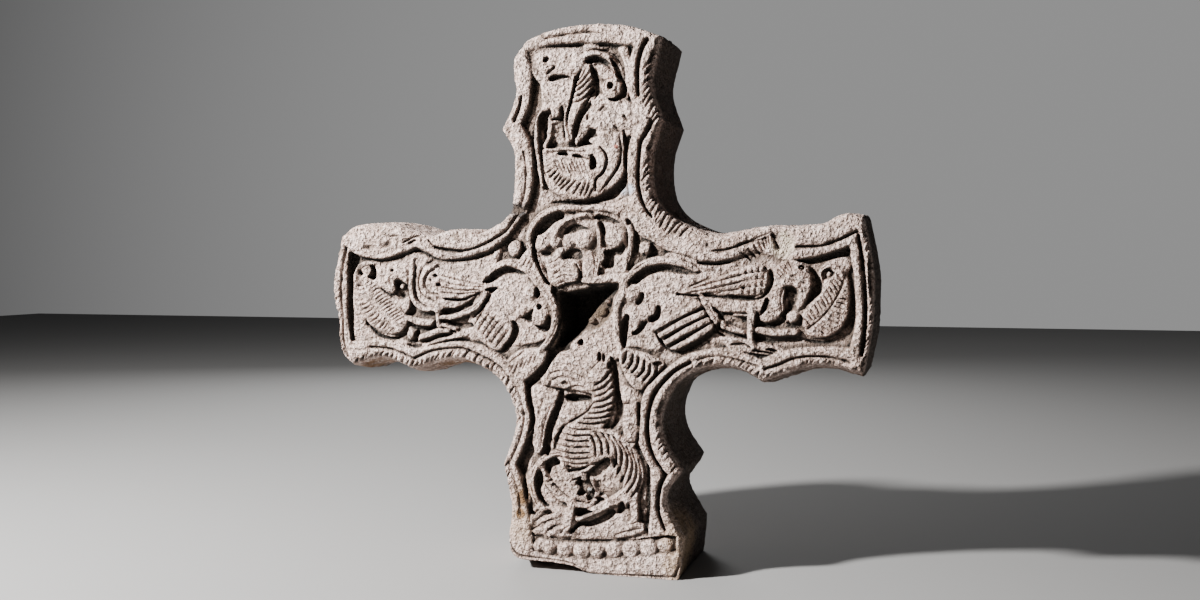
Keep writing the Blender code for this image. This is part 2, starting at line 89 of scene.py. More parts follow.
# Levels in millimetres: where raised shapes spring from, the sunk field, the edge of the
# front, and one below all others for the places that a shape doesn't reach
SHAPE_FOOT = -12.0
FIELD_LEVEL = -11.0
EDGE_LEVEL = -7.0
NOWHERE = -99

# In millimetres: how far in from their edges the two rolls round up, how far past the
# outline the sheet is carved, how near the outline a side is, and how far round a place
# higher stone is looked for when shade is painted into recesses
ROLL_ROUND = 8
EDGE_MARGIN = 7
SIDE_BAND = 2.2
SHADE_REACH = 7.0

# Millimetres in a metre, cells along one side of a table of noise, and places that are
# compared with the outline at one time
PER_METRE = 1000
LATTICE = 256
AT_ONCE = 20000

# The photograph's view: degrees round to the right and up, where it looks and from how
# far in metres, and its lens in millimetres. Then the width of the floor in metres.
VIEW_TURN = 16
VIEW_LIFT = 2
VIEW_AIM = (0.019, -0.095, 0.420)
VIEW_DISTANCE = 1.9
LENS = 37.45
FLOOR_WIDTH = 14


def smooth_curve(points, closed=False, steps=STEPS):
    """A smooth curve through the points, as an array of places on the sheet."""
    knots = np.array(points, float)
    if closed:
        knots = np.vstack([knots[-1], knots, knots[:2]])
    else:
        knots = np.vstack([2 * knots[0] - knots[1], knots, 2 * knots[-1] - knots[-2]])
    share = np.linspace(0, 1, steps, endpoint=False)[:, None]
    pieces = []
    for before, start, end, after in zip(knots, knots[1:], knots[2:], knots[3:]):
        pieces.append(
            start
            + 0.5 * share * (end - before)
            + share**2 * (before - 2.5 * start + 2 * end - 0.5 * after)
            + share**3 * (1.5 * (start - end) + 0.5 * (after - before))
        )
    if not closed:
        pieces.append(knots[-2:-1])
    return np.vstack(pieces)


def distance_to(line, x, z, closed=False):
    """How far each place is from a line, and how far along the line its nearest point is."""
    ends = np.roll(line, -1, axis=0) if closed else line[1:]
    starts = line if closed else line[:-1]
    nearest = np.full(x.shape, 1e9)
    along = np.zeros(x.shape)
    lengths = np.hypot(*(ends - starts).T)
    passed = np.concatenate([[0.0], np.cumsum(lengths)])
    for (ax, az), (bx, bz), length, done in zip(starts, ends, lengths, passed):
        if length == 0:
            continue
        ux, uz = (bx - ax) / length, (bz - az) / length
        run = np.clip((x - ax) * ux + (z - az) * uz, 0, length)
        far = (x - ax - run * ux) ** 2 + (z - az - run * uz) ** 2
        closer = far < nearest
        nearest = np.where(closer, far, nearest)
        along = np.where(closer, (done + run) / passed[-1], along)
    return np.sqrt(nearest), along


def inside(line, x, z):
    """Which places a closed line goes round."""
    found = np.zeros(x.shape, bool)
    for (ax, az), (bx, bz) in zip(line, np.roll(line, -1, axis=0)):
        if az != bz:
            crosses = (az > z) != (bz > z)
            found ^= crosses & (x < ax + (z - az) * (bx - ax) / (bz - az))
    return found


def rise(value, start, end):
    share = np.clip((value - start) / (end - start), 0, 1)
    return share * share * (3 - 2 * share)


def bulge(share):
    """A quarter round: 0 at share 0, up to 1 at share 1."""
    share = np.clip(share, 0, 1)
    return np.sqrt(share * (2 - share))


class Relief:
    """The level of a carving in millimetres: 0 at the crests of the rolls, down to the field."""

    def __init__(self, x, z):
        self.x = x
        self.z = z
        self.level = np.zeros(x.shape)

    def near(self, line, margin):
        low = line.min(axis=0) - margin
        high = line.max(axis=0) + margin
        return np.flatnonzero(
            (self.x > low[0]) & (self.x < high[0]) & (self.z > low[1]) & (self.z < high[1])
        )

    def plate(self, points, level=-2.0, edge=4.0, dome=1.0, foot=SHAPE_FOOT):
        """A raised shape: a rounded edge up from the field, then a slightly domed top."""
        line = smooth_curve(points, closed=True)
        where = self.near(line, 0.5)
        x, z = self.x[where], self.z[where]
        far, _ = distance_to(line, x, z, closed=True)
        far = np.where(inside(line, x, z), far, -far)
        top = level - dome + dome * rise(far, 0, 4 * edge)
        shape = foot + (top - foot) * bulge(far / edge)
        shape = np.where(far > 0, shape, NOWHERE)
        self.level[where] = np.maximum(self.level[where], shape)

    def bar(self, points, width, level=-2.0, foot=SHAPE_FOOT):
        """A raised rounded band along a curve."""
        line = smooth_curve(points)
        widths = np.atleast_1d(width)
        where = self.near(line, widths.max() / 2)
        far, along = distance_to(line, self.x[where], self.z[where])
        half = np.interp(along, np.linspace(0, 1, len(widths)), widths) / 2
        share = far / half
        shape = foot + (level - foot) * bulge(1.6 * (1 - share))
        shape = np.where(share < 1, shape, NOWHERE)
        self.level[where] = np.maximum(self.level[where], shape)

    def boss(self, centre, across, level=-2.0, foot=SHAPE_FOOT):
        """A round or oval pellet."""
        wide, tall = np.broadcast_to(across, 2)
        share = 2 * np.hypot((self.x - centre[0]) / wide, (self.z - centre[1]) / tall)
        where = np.flatnonzero(share < 1)
        shape = foot + (level - foot) * bulge(1.3 * (1 - share[where]))
        self.level[where] = np.maximum(self.level[where], shape)

    def pit(self, points, level=-15.0, side=2.5):
        """A sunk shape with steep sides."""
        line = smooth_curve(points, closed=True)
        where = self.near(line, 0.5)
        x, z = self.x[where], self.z[where]
        far, _ = distance_to(line, x, z, closed=True)
        share = np.where(inside(line, x, z), rise(far, -0.5, side), 0)
        now = self.level[where]
        self.level[where] = now + (np.minimum(level, now) - now) * share

    def cut(self, points, width=4.0, depth=4.0):
        """A groove along a curve, cut down from the surface that is there, with worn shoulders."""
        line = smooth_curve(points)
        widths = np.atleast_1d(width)
        where = self.near(line, 1.3 * widths.max())
        far, along = distance_to(line, self.x[where], self.z[where])
        half = np.interp(along, np.linspace(0, 1, len(widths)), widths) / 2
        share = np.clip(1 - far / half, 0, 1)
        shoulder = np.clip(1 - far / (2.6 * half), 0, 1)
        profile = 0.8 * np.minimum(1, 1.6 * share) + 0.35 * shoulder**2
        self.level[where] -= depth * profile * np.minimum(1, half / 1.2)

    def hatch(self, first_side, second_side, count, width=3.0, depth=2.5, bow=0.0):
        """A row of cuts, each from one side curve to the other, bowed sideways by bow."""
        starts = smooth_curve(first_side, steps=FINE_STEPS)
        ends = smooth_curve(second_side, steps=FINE_STEPS)
        for share in np.linspace(0, 1, count):
            start = starts[round(share * (len(starts) - 1))]
            end = ends[round(share * (len(ends) - 1))]
            across = np.array([end[1] - start[1], start[0] - end[0]])
            middle = (start + end) / 2 + bow * across / max(np.hypot(*across), 1e-6)
            self.cut([start, middle, end], [0.6 * width, width, 0.5 * width], depth)


# The edge of the front, run by run, clockwise from the foot. Each run is one smooth curve, and
# two runs meet in a corner or a cusp.
OUTLINE = {
    "foot_break": [(2, 0), (-22, 13), (-60, 18), (-108, 21), (-124, 34), (-129, 54)],
    "lower_left_end": [(-129, 54), (-125, 100), (-138, 163)],
    "lower_left_throat": [
        (-138, 163), (-121, 208), (-118, 240), (-128, 271), (-150, 299), (-185, 319), (-225, 326),
        (-290, 308),
    ],
    "left_underside": [(-290, 308), (-345, 325), (-396, 311)],
    "left_end": [(-396, 311), (-417, 338), (-421, 385), (-430, 433), (-422, 485), (-413, 519)],
    "left_worn_top": [
        (-413, 519), (-386, 536), (-336, 538), (-297, 528), (-258, 518), (-236, 526), (-198, 526),
        (-178, 520),
    ],
    "upper_left_throat": [(-178, 520), (-128, 551), (-118, 610), (-120, 652), (-138, 682)],
    "upper_left_end": [(-138, 682), (-116, 734), (-119, 765), (-117, 793), (-98, 817)],
    "crown": [(-98, 817), (-60, 831), (-5, 838), (60, 833), (113, 815)],
    "upper_right_end": [(113, 815), (98, 748), (115, 690)],
    "upper_right_throat": [
        (115, 690), (101, 650), (98, 612), (104, 577), (122, 551), (152, 533), (192, 519),
        (232, 523), (276, 531),
    ],
    "right_worn_top": [(276, 531), (312, 529), (352, 533), (382, 547), (411, 544)],
    "right_end": [(411, 544), (424, 480), (427, 430), (424, 375), (413, 318)],
    "right_underside": [(413, 318), (345, 330), (268, 304)],
    "lower_right_throat": [
        (268, 304), (235, 321), (200, 326), (165, 317), (137, 296), (119, 262), (114, 230),
        (122, 200), (145, 165),
    ],
    "lower_right_end": [(145, 165), (120, 120), (149, 62)],
    "foot_right": [(149, 62), (146, 28), (136, 0)],
}

# The edge of the sunk field, inside the rolls, clockwise from the left of the ledge.
FIELD = [
    [(-88, 56), (-92, 84), (-97, 112), (-104, 140), (-113, 161)],
    [(-113, 161), (-103, 182), (-96, 199), (-88, 225), (-89, 250), (-98, 287)],
    [(-98, 287), (-122, 318), (-160, 344), (-200, 353), (-240, 351), (-287, 341)],
    [(-287, 341), (-320, 351), (-355, 355), (-393, 352)],
    [(-393, 352), (-400, 385), (-401, 410), (-399, 440), (-400, 470), (-396, 489)],
    [(-396, 489), (-366, 482), (-342, 480), (-316, 486), (-281, 498)],
    [(-281, 498), (-262, 490), (-240, 480), (-208, 481), (-170, 489), (-140, 505), (-118, 527),
     (-99, 553), (-86, 588), (-84, 620), (-88, 655), (-104, 689)],
    [(-104, 689), (-92, 711), (-88, 740), (-87, 762), (-93, 799)],
    [(-93, 799), (-60, 806), (-15, 807), (30, 806), (70, 800)],
    [(70, 800), (63, 770), (64, 730), (80, 688)],
    [(80, 688), (64, 655), (62, 600), (70, 562), (90, 532), (125, 506), (172, 478), (215, 479),
     (262, 492)],
    [(262, 492), (300, 480), (340, 482), (391, 498)],
    [(391, 498), (398, 460), (401, 420), (400, 385), (393, 356)],
    [(393, 356), (345, 356), (300, 350), (265, 336)],
    [(265, 336), (225, 350), (190, 350), (150, 338), (113, 310), (88, 282), (80, 240), (79, 205),
     (97, 166)],
    [(97, 166), (98, 130), (97, 100), (94, 66)],
    [(94, 64), (40, 52), (-19, 48), (-88, 54)],
]

# The groove between the two rolls, in runs that the wear has left.
ROLL_GROOVE = [
    ([(-109, 84), (-110, 110), (-118, 140), (-127, 163)], 3, 3),
    ([(-127, 163), (-112, 195), (-103, 225), (-104, 252), (-116, 285), (-140, 313)], 3, 3),
    ([(-140, 313), (-160, 325), (-197, 340), (-216, 342), (-255, 337), (-287, 324)], 4, 5),
    ([(-287, 324), (-305, 331), (-320, 337), (-339, 340), (-362, 341)], 4, 5),
    ([(-402, 325), (-410, 350), (-411, 385), (-414, 430), (-410, 470), (-404, 500)], 4, 4),
    ([(-250, 500), (-230, 497), (-203, 495), (-180, 500), (-155, 511), (-131, 526), (-112, 551)],
     4, 5),
    ([(-112, 551), (-104, 571), (-99, 591), (-98, 620), (-102, 648)], [4, 3.5, 2.5, 2.5, 2], 3.2),
    ([(-117, 694), (-109, 714), (-105, 732)], [5, 5.5, 2], 5),
    ([(-66, 818), (-40, 822), (-20, 824), (4, 825), (22, 823)], [2, 3.5, 3.5, 3, 1.5], 3.6),
    ([(94, 810), (85, 793), (80, 773), (79, 752), (80, 727)], [6, 7, 7, 5, 4], 7),
    ([(101, 687), (94, 673), (84, 656), (81, 629), (80, 605), (82, 585), (89, 562), (101, 545)],
     [6, 6, 5, 5, 5, 4, 3], 7),
    ([(194, 494), (219, 498), (245, 506), (272, 513)], 3, 3),
    ([(317, 500), (350, 501), (371, 507), (404, 522)], 4, 5),
    ([(405, 517), (411, 480), (415, 440), (416, 400), (414, 370), (411, 345)], [5, 8, 7, 7, 6], 8),
    ([(272, 321), (293, 328), (310, 336), (328, 340), (345, 341), (367, 340), (393, 334)], 4, 5),
    ([(171, 332), (188, 337), (208, 338), (233, 333), (262, 325)], 4, 4),
    ([(160, 328), (136, 314), (118, 296), (105, 278), (98, 256), (95, 232), (97, 206), (105, 183),
      (122, 158)], [7, 8, 7, 6, 6, 5, 5], 8),
    ([(124, 158), (116, 143), (112, 121), (113, 98), (122, 74)], [6, 7, 6, 5, 3], 7),
]

# Where the outer roll is nicked like a cord: run of the outline, share of it, and reach inward.
CORD = [
    ("lower_left_end", 0.55, 1.0, 13), ("lower_left_throat", 0.0, 1.0, 17),
    ("left_underside", 0.0, 1.0, 13), ("left_end", 0.1, 0.8, 9),
    ("upper_right_end", 0.1, 1.0, 22), ("upper_right_throat", 0.0, 0.62, 22),
    ("right_end", 0.1, 1.0, 14), ("right_underside", 0.0, 1.0, 11),
    ("lower_right_throat", 0.0, 1.0, 13),
]

# The broken hollow at the crossing, as it opens on the front.
SOCKET = [
    (-51, 436), (-38, 434), (-20, 438), (-4, 440), (6, 445), (22, 444), (34, 448), (52, 447),
    (39, 431), (26, 419), (13, 405), (2, 390), (-8, 372),
    (-24, 356), (-47, 340), (-58, 344), (-47, 372), (-52, 405),
]


def carve_border(relief, edge, field):
    """The two rolls: rounded up from the edge of the stone, from the groove and from the field."""
    x, z = relief.x, relief.z
    from_edge, _ = distance_to(edge, x, z, closed=True)
    from_field, _ = distance_to(field, x, z, closed=True)
    within = inside(field, x, z)
    roll = EDGE_LEVEL - EDGE_LEVEL * bulge(from_edge / ROLL_ROUND)
    inner_roll = FIELD_LEVEL - FIELD_LEVEL * bulge(from_field / ROLL_ROUND)
    relief.level = np.where(within, FIELD_LEVEL, np.minimum(roll, inner_roll))
    for points, width, depth in ROLL_GROOVE:
        line = smooth_curve(points)
        where = relief.near(line, 9)
        far, _ = distance_to(line, x[where], z[where])
        shoulder = -0.75 * depth + 0.75 * depth * bulge(far / 8)
        relief.level[where] = np.where(
            within[where], relief.level[where], np.minimum(relief.level[where], shoulder)
        )
        relief.cut(points, np.atleast_1d(width) + 1.0, 0.7 * depth)


def carve_cord(relief):
    """Nicks across the outer roll, like the lay of a cord, cut by eye and since worn."""
    hand = np.random.default_rng(15)
    for name, start, end, reach in CORD:
        line = smooth_curve(OUTLINE[name], steps=FINE_STEPS)
        passed = np.concatenate([[0], np.cumsum(np.hypot(*np.diff(line, axis=0).T))])
        place = start * passed[-1] + 4
        while place < end * passed[-1] - 3:
            here = np.array([np.interp(place, passed, line[:, 0]),
                             np.interp(place, passed, line[:, 1])])
            ahead = np.array([np.interp(place + 1, passed, line[:, 0]),
                              np.interp(place + 1, passed, line[:, 1])])
            inward = np.array([ahead[1] - here[1], here[0] - ahead[0]])
            angle = np.radians(hand.uniform(46, 66))
            lean = np.array([np.cos(angle), np.sin(angle)])
            lean *= np.sign(lean @ inward)
            tip = here + lean * reach * hand.uniform(0.6, 1.15)
            relief.cut([here - 3 * lean, tip], [hand.uniform(3, 5.5), 2], hand.uniform(1.5, 5.5))
            place += hand.uniform(5.5, 12)


def carve_upper_arm(relief):
    """A beast that looks back over its shoulder, above a fan-shaped leaf in a ring of stem."""
    # The ground behind the head stands nearly as high as the rolls
    relief.plate([(-95, 806), (-93, 784), (-91, 766), (-84, 757), (-77, 748), (-75, 720),
                  (-76, 700), (-60, 690), (-44, 694), (-30, 714), (-20, 750), (0, 788), (30, 802),
                  (-30, 805)], -4.5, 5, 0.5)
    # Head and neck
    relief.boss((4, 803), (30, 13), -2)
    relief.plate([(-82, 796), (-84, 783), (-79, 770), (-66, 762), (-58, 763), (-30, 762),
                  (-14, 764), (-2, 778), (4, 797), (-30, 801)], -1.5, 5, 1.5)
    relief.bar([(6, 790), (2, 770), (-6, 745), (-14, 722), (-22, 702), (-28, 682), (-30, 664)],
               [8, 22, 27, 26, 19, 15, 14], -1.5)
    relief.bar([(-21, 760), (-27, 735), (-33, 712), (-36, 692), (-33, 672)], [4, 5, 6, 6, 5], -0.8)
    relief.bar([(8, 722), (0, 706), (-8, 690), (-14, 672), (-16, 660)], [12, 15, 15, 13, 10], -2)
    # Tail that comes over and curls
    relief.bar([(-6, 786), (6, 793), (22, 791), (36, 783), (44, 768), (46, 752)],
               [4, 7, 9, 9, 8, 8], -1.2)
    relief.plate([(8, 776), (26, 776), (38, 768), (42, 756), (30, 752), (18, 758), (14, 768)], -3.5)
    relief.plate([(46, 800), (64, 800), (68, 770), (66, 740), (62, 722), (58, 742), (58, 764),
                  (54, 782)], -3, 4)
    relief.boss((38, 740), (35, 35), -1)
    # Body, worn down and run into the rolls on the right
    relief.plate([(-2, 706), (2, 720), (12, 730), (26, 734), (44, 730), (62, 722), (80, 712),
                  (92, 700), (88, 686), (66, 678), (30, 676), (6, 678), (-6, 690)], -0.5, 9, 1.5)
    relief.bar([(0, 690), (-4, 676), (-12, 662)], [18, 14, 8], -2.5)
    # Stem that rises round an oval hollow to a square bud
    relief.bar([(-72, 594), (-77, 620), (-80, 648), (-82, 676), (-80, 696), (-72, 709),
                (-60, 712)], [7, 8, 9, 10, 9, 8, 9], -1.8)
    relief.plate([(-58, 714), (-44, 714), (-43, 698), (-57, 698)], -1.2, 3)
    relief.bar([(-62, 698), (-60, 684), (-62, 668), (-68, 656)], 9, -4)
    # Leaf in its ring
    relief.plate([(-72, 650), (-50, 652), (-20, 650), (0, 664), (28, 673), (56, 678), (61, 660),
                  (61, 622), (54, 602), (38, 588), (12, 575), (-20, 571), (-46, 579), (-64, 592),
                  (-74, 620)], -2, 6, 2)
    relief.bar([(18, 664), (36, 652), (43, 634), (41, 616), (30, 600), (22, 586)],
               [10, 13, 14, 14, 12, 8], -0.8)
    relief.bar([(4, 650), (18, 646), (25, 634), (24, 618), (14, 608)], [5, 8, 8, 7, 5], -1.2)
    relief.bar([(-70, 648), (-50, 650), (-30, 650), (-8, 648)], 6, -1)
    relief.plate([(14, 686), (40, 684), (84, 686), (86, 668), (64, 666), (40, 668), (16, 668)],
                 -2.2, 3)
    # Shadowed sinkings
    relief.pit([(-71, 784), (-68, 790), (-62, 791), (-61, 786), (-66, 782)], -9, 1.5)
    relief.pit([(-63, 757), (-58, 762), (-48, 763), (-34, 762), (-28, 759), (-40, 757),
                (-50, 755), (-58, 753)], -13, 1.5)
    relief.cut([(-64, 766), (-59, 769), (-53, 774)], 4, 5)
    relief.cut([(-66, 774), (-58, 777), (-52, 776)], 2.5, 2.5)
    relief.cut([(-82, 772), (-70, 764), (-60, 756)], 2.5, 2)
    relief.pit([(-3, 780), (2, 787), (9, 788), (20, 785), (31, 781), (36, 776), (22, 778),
                (12, 779), (4, 777)], -14, 1.5)
    relief.pit([(5, 780), (11, 771), (16, 756), (18, 742), (17, 731), (11, 724), (10, 738),
                (9, 752), (5, 766)], -14, 2)
    relief.pit([(36, 784), (43, 779), (50, 768), (53, 755), (47, 754), (42, 764)], -14, 1.5)
    relief.pit([(53, 752), (58, 748), (62, 738), (60, 728), (52, 722), (42, 719), (32, 724),
                (42, 725), (51, 730), (55, 740)], -14, 1.5)
    relief.pit([(32, 741), (33, 748), (40, 748), (40, 741), (36, 738)], -11, 1.5)
    relief.cut([(28, 752), (27, 738), (34, 728), (44, 729)], 2.2, 1.8)
    relief.cut([(36, 755), (46, 750), (47, 740), (38, 734), (28, 738), (27, 749), (36, 755)], 2.2,
               1.6)
    relief.cut([(-12, 794), (6, 799), (26, 797), (40, 790), (52, 774), (58, 758)], 2.2, 2.5)
    relief.cut([(22, 780), (31, 773), (37, 764)], 3, 3)
    for points in (
        [(-18, 753), (-10, 758), (-2, 772)], [(-21, 744), (-11, 749), (3, 764)],
        [(-23, 736), (-11, 741), (6, 756)], [(-24, 728), (-10, 732), (7, 747)],
        [(-25, 720), (-10, 723), (8, 738)],
    ):
        relief.cut(points, [2.5, 4, 3], 4.5)
    relief.cut([(-24, 752), (-30, 726), (-37, 704), (-39, 684), (-36, 664)], [2, 3, 3.5, 3, 3], 3.5)
    relief.cut([(-19, 750), (-25, 727), (-31, 706), (-32, 688), (-27, 666)], [2, 2.5, 3, 3, 3], 3.5)
    relief.pit([(6, 724), (-3, 714), (-11, 702), (-18, 686), (-21, 668), (-16, 668), (-12, 684),
                (-5, 700), (3, 712)], -12, 1.5)
    relief.cut([(6, 716), (1, 705), (0, 694)], 4, 5)
    relief.pit([(-18, 653), (-11, 661), (-4, 668), (4, 678), (3, 668), (1, 662), (9, 656),
                (-4, 655)], -14, 1.5)
    relief.cut([(6, 679), (22, 676), (36, 677), (50, 674), (64, 677), (78, 675)],
               [2, 3, 2, 3.5, 2.5, 2], 3)
    relief.cut([(20, 706), (26, 712)], 4, 4)
    relief.cut([(58, 698), (62, 690)], 5, 4)
    relief.cut([(44, 682), (48, 676)], 5, 4)
    relief.cut([(16, 720), (34, 722), (52, 716)], 3, 1.5)
    relief.pit([(-75, 704), (-68, 708), (-61, 706), (-63, 699), (-64, 690), (-66, 680),
                (-70, 674), (-75, 679), (-77, 692)], -15, 2)
    relief.cut([(-70, 678), (-69, 668)], 4, 6)
    relief.cut([(-71, 714), (-81, 704), (-86, 688), (-87, 668)], 2.5, 3)
    relief.cut([(-41, 714), (-42, 697), (-57, 696)], 4, 8)
    relief.cut([(-60, 711), (-59, 700)], 3.5, 6)
    relief.pit([(-54, 709), (-49, 709), (-49, 703), (-54, 703)], -5, 1.5)
    relief.pit([(-66, 652), (-58, 659), (-52, 665), (-48, 656), (-56, 651)], -13, 1.5)
    relief.pit([(-49, 642), (-44, 646), (-34, 646), (-31, 640), (-40, 640)], -12, 1.5)
    relief.pit([(-25, 640), (-18, 642), (-11, 641), (-9, 636), (-18, 636)], -11, 1.5)
    relief.cut([(-8, 637), (2, 634)], 3.5, 5)
    relief.pit([(6, 641), (12, 636), (15, 627), (12, 619), (5, 618), (4, 627)], -13, 1.5)
    relief.cut([(20, 652), (29, 641), (31, 627), (24, 612), (14, 603), (12, 586)],
               [3, 4, 4, 4, 4, 3], 6)
    relief.cut([(50, 667), (53, 648), (51, 628), (42, 611), (30, 596), (20, 584)],
               [2, 3, 3.5, 4, 4, 3], 5)
    relief.hatch([(-58, 608), (-48, 596), (-38, 588), (-14, 579), (2, 577)],
                 [(-48, 618), (-38, 608), (-22, 602), (-4, 598), (9, 590)], 10, 3.5, 4)
    relief.hatch([(-68, 632), (-68, 618), (-62, 606)], [(-56, 638), (-53, 626), (-50, 616)],
                 4, 3, 3)
    relief.hatch([(-52, 634), (-30, 634), (-6, 632)], [(-42, 612), (-18, 608), (4, 606)], 9, 2.5,
                 3, 1)
    relief.cut([(-60, 644), (-40, 648), (-20, 646), (-4, 644)], 2.2, 2)
    relief.cut([(-84, 650), (-80, 624), (-76, 604), (-70, 590)], 2.5, 3)
    relief.cut([(-74, 640), (-70, 618), (-62, 600)], 2.5, 3)
    # Shadow under the leaf, along the old mend
    relief.pit([(62, 612), (60, 596), (52, 584), (42, 574), (20, 568), (-6, 563), (-28, 566),
                (-52, 568), (-72, 566), (-50, 571), (-26, 571), (0, 571), (24, 579), (44, 592),
                (56, 606)], -17, 2)
    relief.pit([(-130, 563), (-118, 566), (-104, 562), (-90, 562), (-94, 553), (-110, 550),
                (-128, 553)], -8, 3)
    relief.pit([(56, 677), (60, 670), (62, 650), (62, 620), (57, 622), (57, 650)], -12, 1.5)


def carve_crossing(relief):
    """A roundel of stem over a bunch of fruit, and the stems, berries and leaves round it."""
    # The ground on both sides stands higher than the field of the arms
    relief.plate([(-176, 436), (-150, 450), (-120, 460), (-96, 458), (-74, 436), (-58, 412),
                  (-54, 388), (-66, 360), (-92, 350), (-128, 346), (-172, 350), (-198, 372),
                  (-190, 410)], -6.5, 5, 0.5)
    relief.plate([(72, 452), (100, 462), (140, 462), (176, 456), (190, 430), (160, 402), (128, 376),
                  (112, 344), (80, 348), (52, 352), (50, 400), (58, 432)], -6, 5, 0.5)
    relief.plate([(-76, 470), (-84, 500), (-84, 525), (-68, 548), (-30, 560), (30, 560), (62, 548),
                  (72, 520), (70, 480), (60, 462), (0, 452), (-40, 446), (-60, 452)], -8.5, 3, 0)
    relief.plate([(-40, 566), (0, 564), (40, 568), (66, 578), (84, 562), (100, 540), (128, 520),
                  (168, 498), (190, 492), (170, 482), (128, 492), (104, 506), (78, 520), (66, 540),
                  (40, 552), (0, 554), (-44, 554)], -3.5, 4, 0.5)
    # Ring of the roundel
    relief.bar([(-62, 436), (-76, 462), (-89, 490), (-94, 514), (-86, 536), (-68, 552), (-44, 560),
                (-34, 556)], [14, 15, 15, 14, 13, 14, 12, 7], -1.2)
    relief.bar([(-36, 560), (0, 561), (34, 558), (56, 546), (67, 526), (68, 502), (62, 482),
                (58, 466)], [9, 11, 11, 10, 11, 11, 10, 8], -1.8)
    relief.bar([(-54, 504), (-50, 522), (-40, 536), (-24, 545), (-4, 549), (8, 546)],
               [8, 9, 9, 9, 9, 6], -1.8)
    # Fruit
    relief.boss((-73, 506), (29, 27), 0)
    relief.boss((-52, 510), (20, 24), -2.5)
    relief.boss((-5, 512), (36, 33), 0)
    relief.boss((-30, 508), (24, 20), -3)
    relief.boss((44, 514), (37, 35), 0)
    # Stalks and leaves below the fruit
    relief.bar([(14, 550), (17, 530), (19, 506), (17, 480), (12, 452)], [7, 8, 9, 9, 8], -1.5)
    relief.plate([(-70, 492), (-58, 488), (-50, 498), (-38, 500), (-40, 480), (-32, 462),
                  (-34, 446), (-50, 438), (-64, 452)], -2, 4, 1.5)
    relief.plate([(-42, 482), (-30, 478), (-16, 480), (-9, 470), (-14, 452), (-22, 446), (-38, 446),
                  (-44, 462)], -1.5, 4, 1.5)
    relief.plate([(-8, 482), (0, 496), (10, 492), (16, 478), (14, 452), (4, 446), (-6, 450),
                  (-10, 466)], -1.5, 4, 2)
    relief.plate([(22, 500), (34, 496), (30, 482), (28, 472), (20, 468), (17, 484)], -2.5, 3)
    relief.plate([(-14, 452), (6, 456), (26, 460), (48, 464), (64, 466), (66, 452), (52, 446),
                  (20, 444), (-4, 444)], -2, 3)
    relief.plate([(42, 484), (54, 487), (60, 498), (66, 490), (62, 468), (44, 462)], -3, 3)
    # Buds outside the ring
    relief.boss((-118, 498), (25, 27), -1)
    relief.boss((90, 498), (23, 23), -1)
    # Arching stems
    relief.bar([(-172, 444), (-160, 458), (-146, 470), (-128, 476), (-108, 472), (-92, 462),
                (-74, 442), (-58, 418), (-51, 398), (-54, 376), (-64, 354), (-80, 338)],
               [10, 12, 14, 15, 17, 18, 17, 15, 13, 13, 12, 10], -1.5)
    relief.plate([(-114, 474), (-104, 492), (-92, 500), (-82, 480), (-76, 456), (-88, 452),
                  (-104, 462)], -1.8, 4, 1)
    relief.bar([(66, 456), (78, 468), (98, 477), (124, 480), (150, 475), (168, 468)],
               [12, 14, 15, 14, 13, 12], -1.5)
    relief.plate([(118, 488), (140, 496), (176, 486), (196, 474), (180, 462), (150, 470),
                  (128, 480)], -3, 4)
    # Stem right of the hollow, down into the ribbed leaf
    relief.bar([(58, 452), (54, 430), (46, 408), (46, 380), (50, 356), (54, 340)],
               [18, 15, 13, 13, 14, 16], -1.8)
    relief.plate([(-50, 340), (-30, 352), (0, 370), (16, 378), (34, 396), (44, 410), (50, 380),
                  (56, 350), (48, 330), (20, 322), (-20, 330)], -3.5, 4)
    # Berries and quilted leaf left of the hollow
    relief.boss((-93, 431), (27, 27), -1.5)
    relief.boss((-76, 393), (34, 36), 0)
    relief.boss((-108, 400), (24, 18), -3.5)
    relief.plate([(-184, 402), (-166, 414), (-146, 406), (-130, 390), (-122, 368), (-128, 350),
                  (-144, 338), (-166, 346), (-190, 372)], -2.5, 5, 2)
    # Fruit right of the hollow
    relief.boss((70, 430), (30, 28), -1.5)
    relief.boss((96, 400), (34, 30), -0.5)
    relief.boss((72, 392), (32, 30), -1)
    # Leaves in the lower armpits
    relief.plate([(-136, 300), (-134, 322), (-114, 340), (-86, 346), (-66, 342), (-64, 328),
                  (-80, 310), (-98, 294), (-118, 286)], -2, 5, 1.5)
    relief.plate([(54, 352), (70, 346), (96, 340), (120, 326), (110, 310), (94, 292), (84, 282),
                  (68, 290), (54, 312), (48, 334)], -1.8, 5, 1.5)
    relief.boss((68, 272), (38, 32), -2)
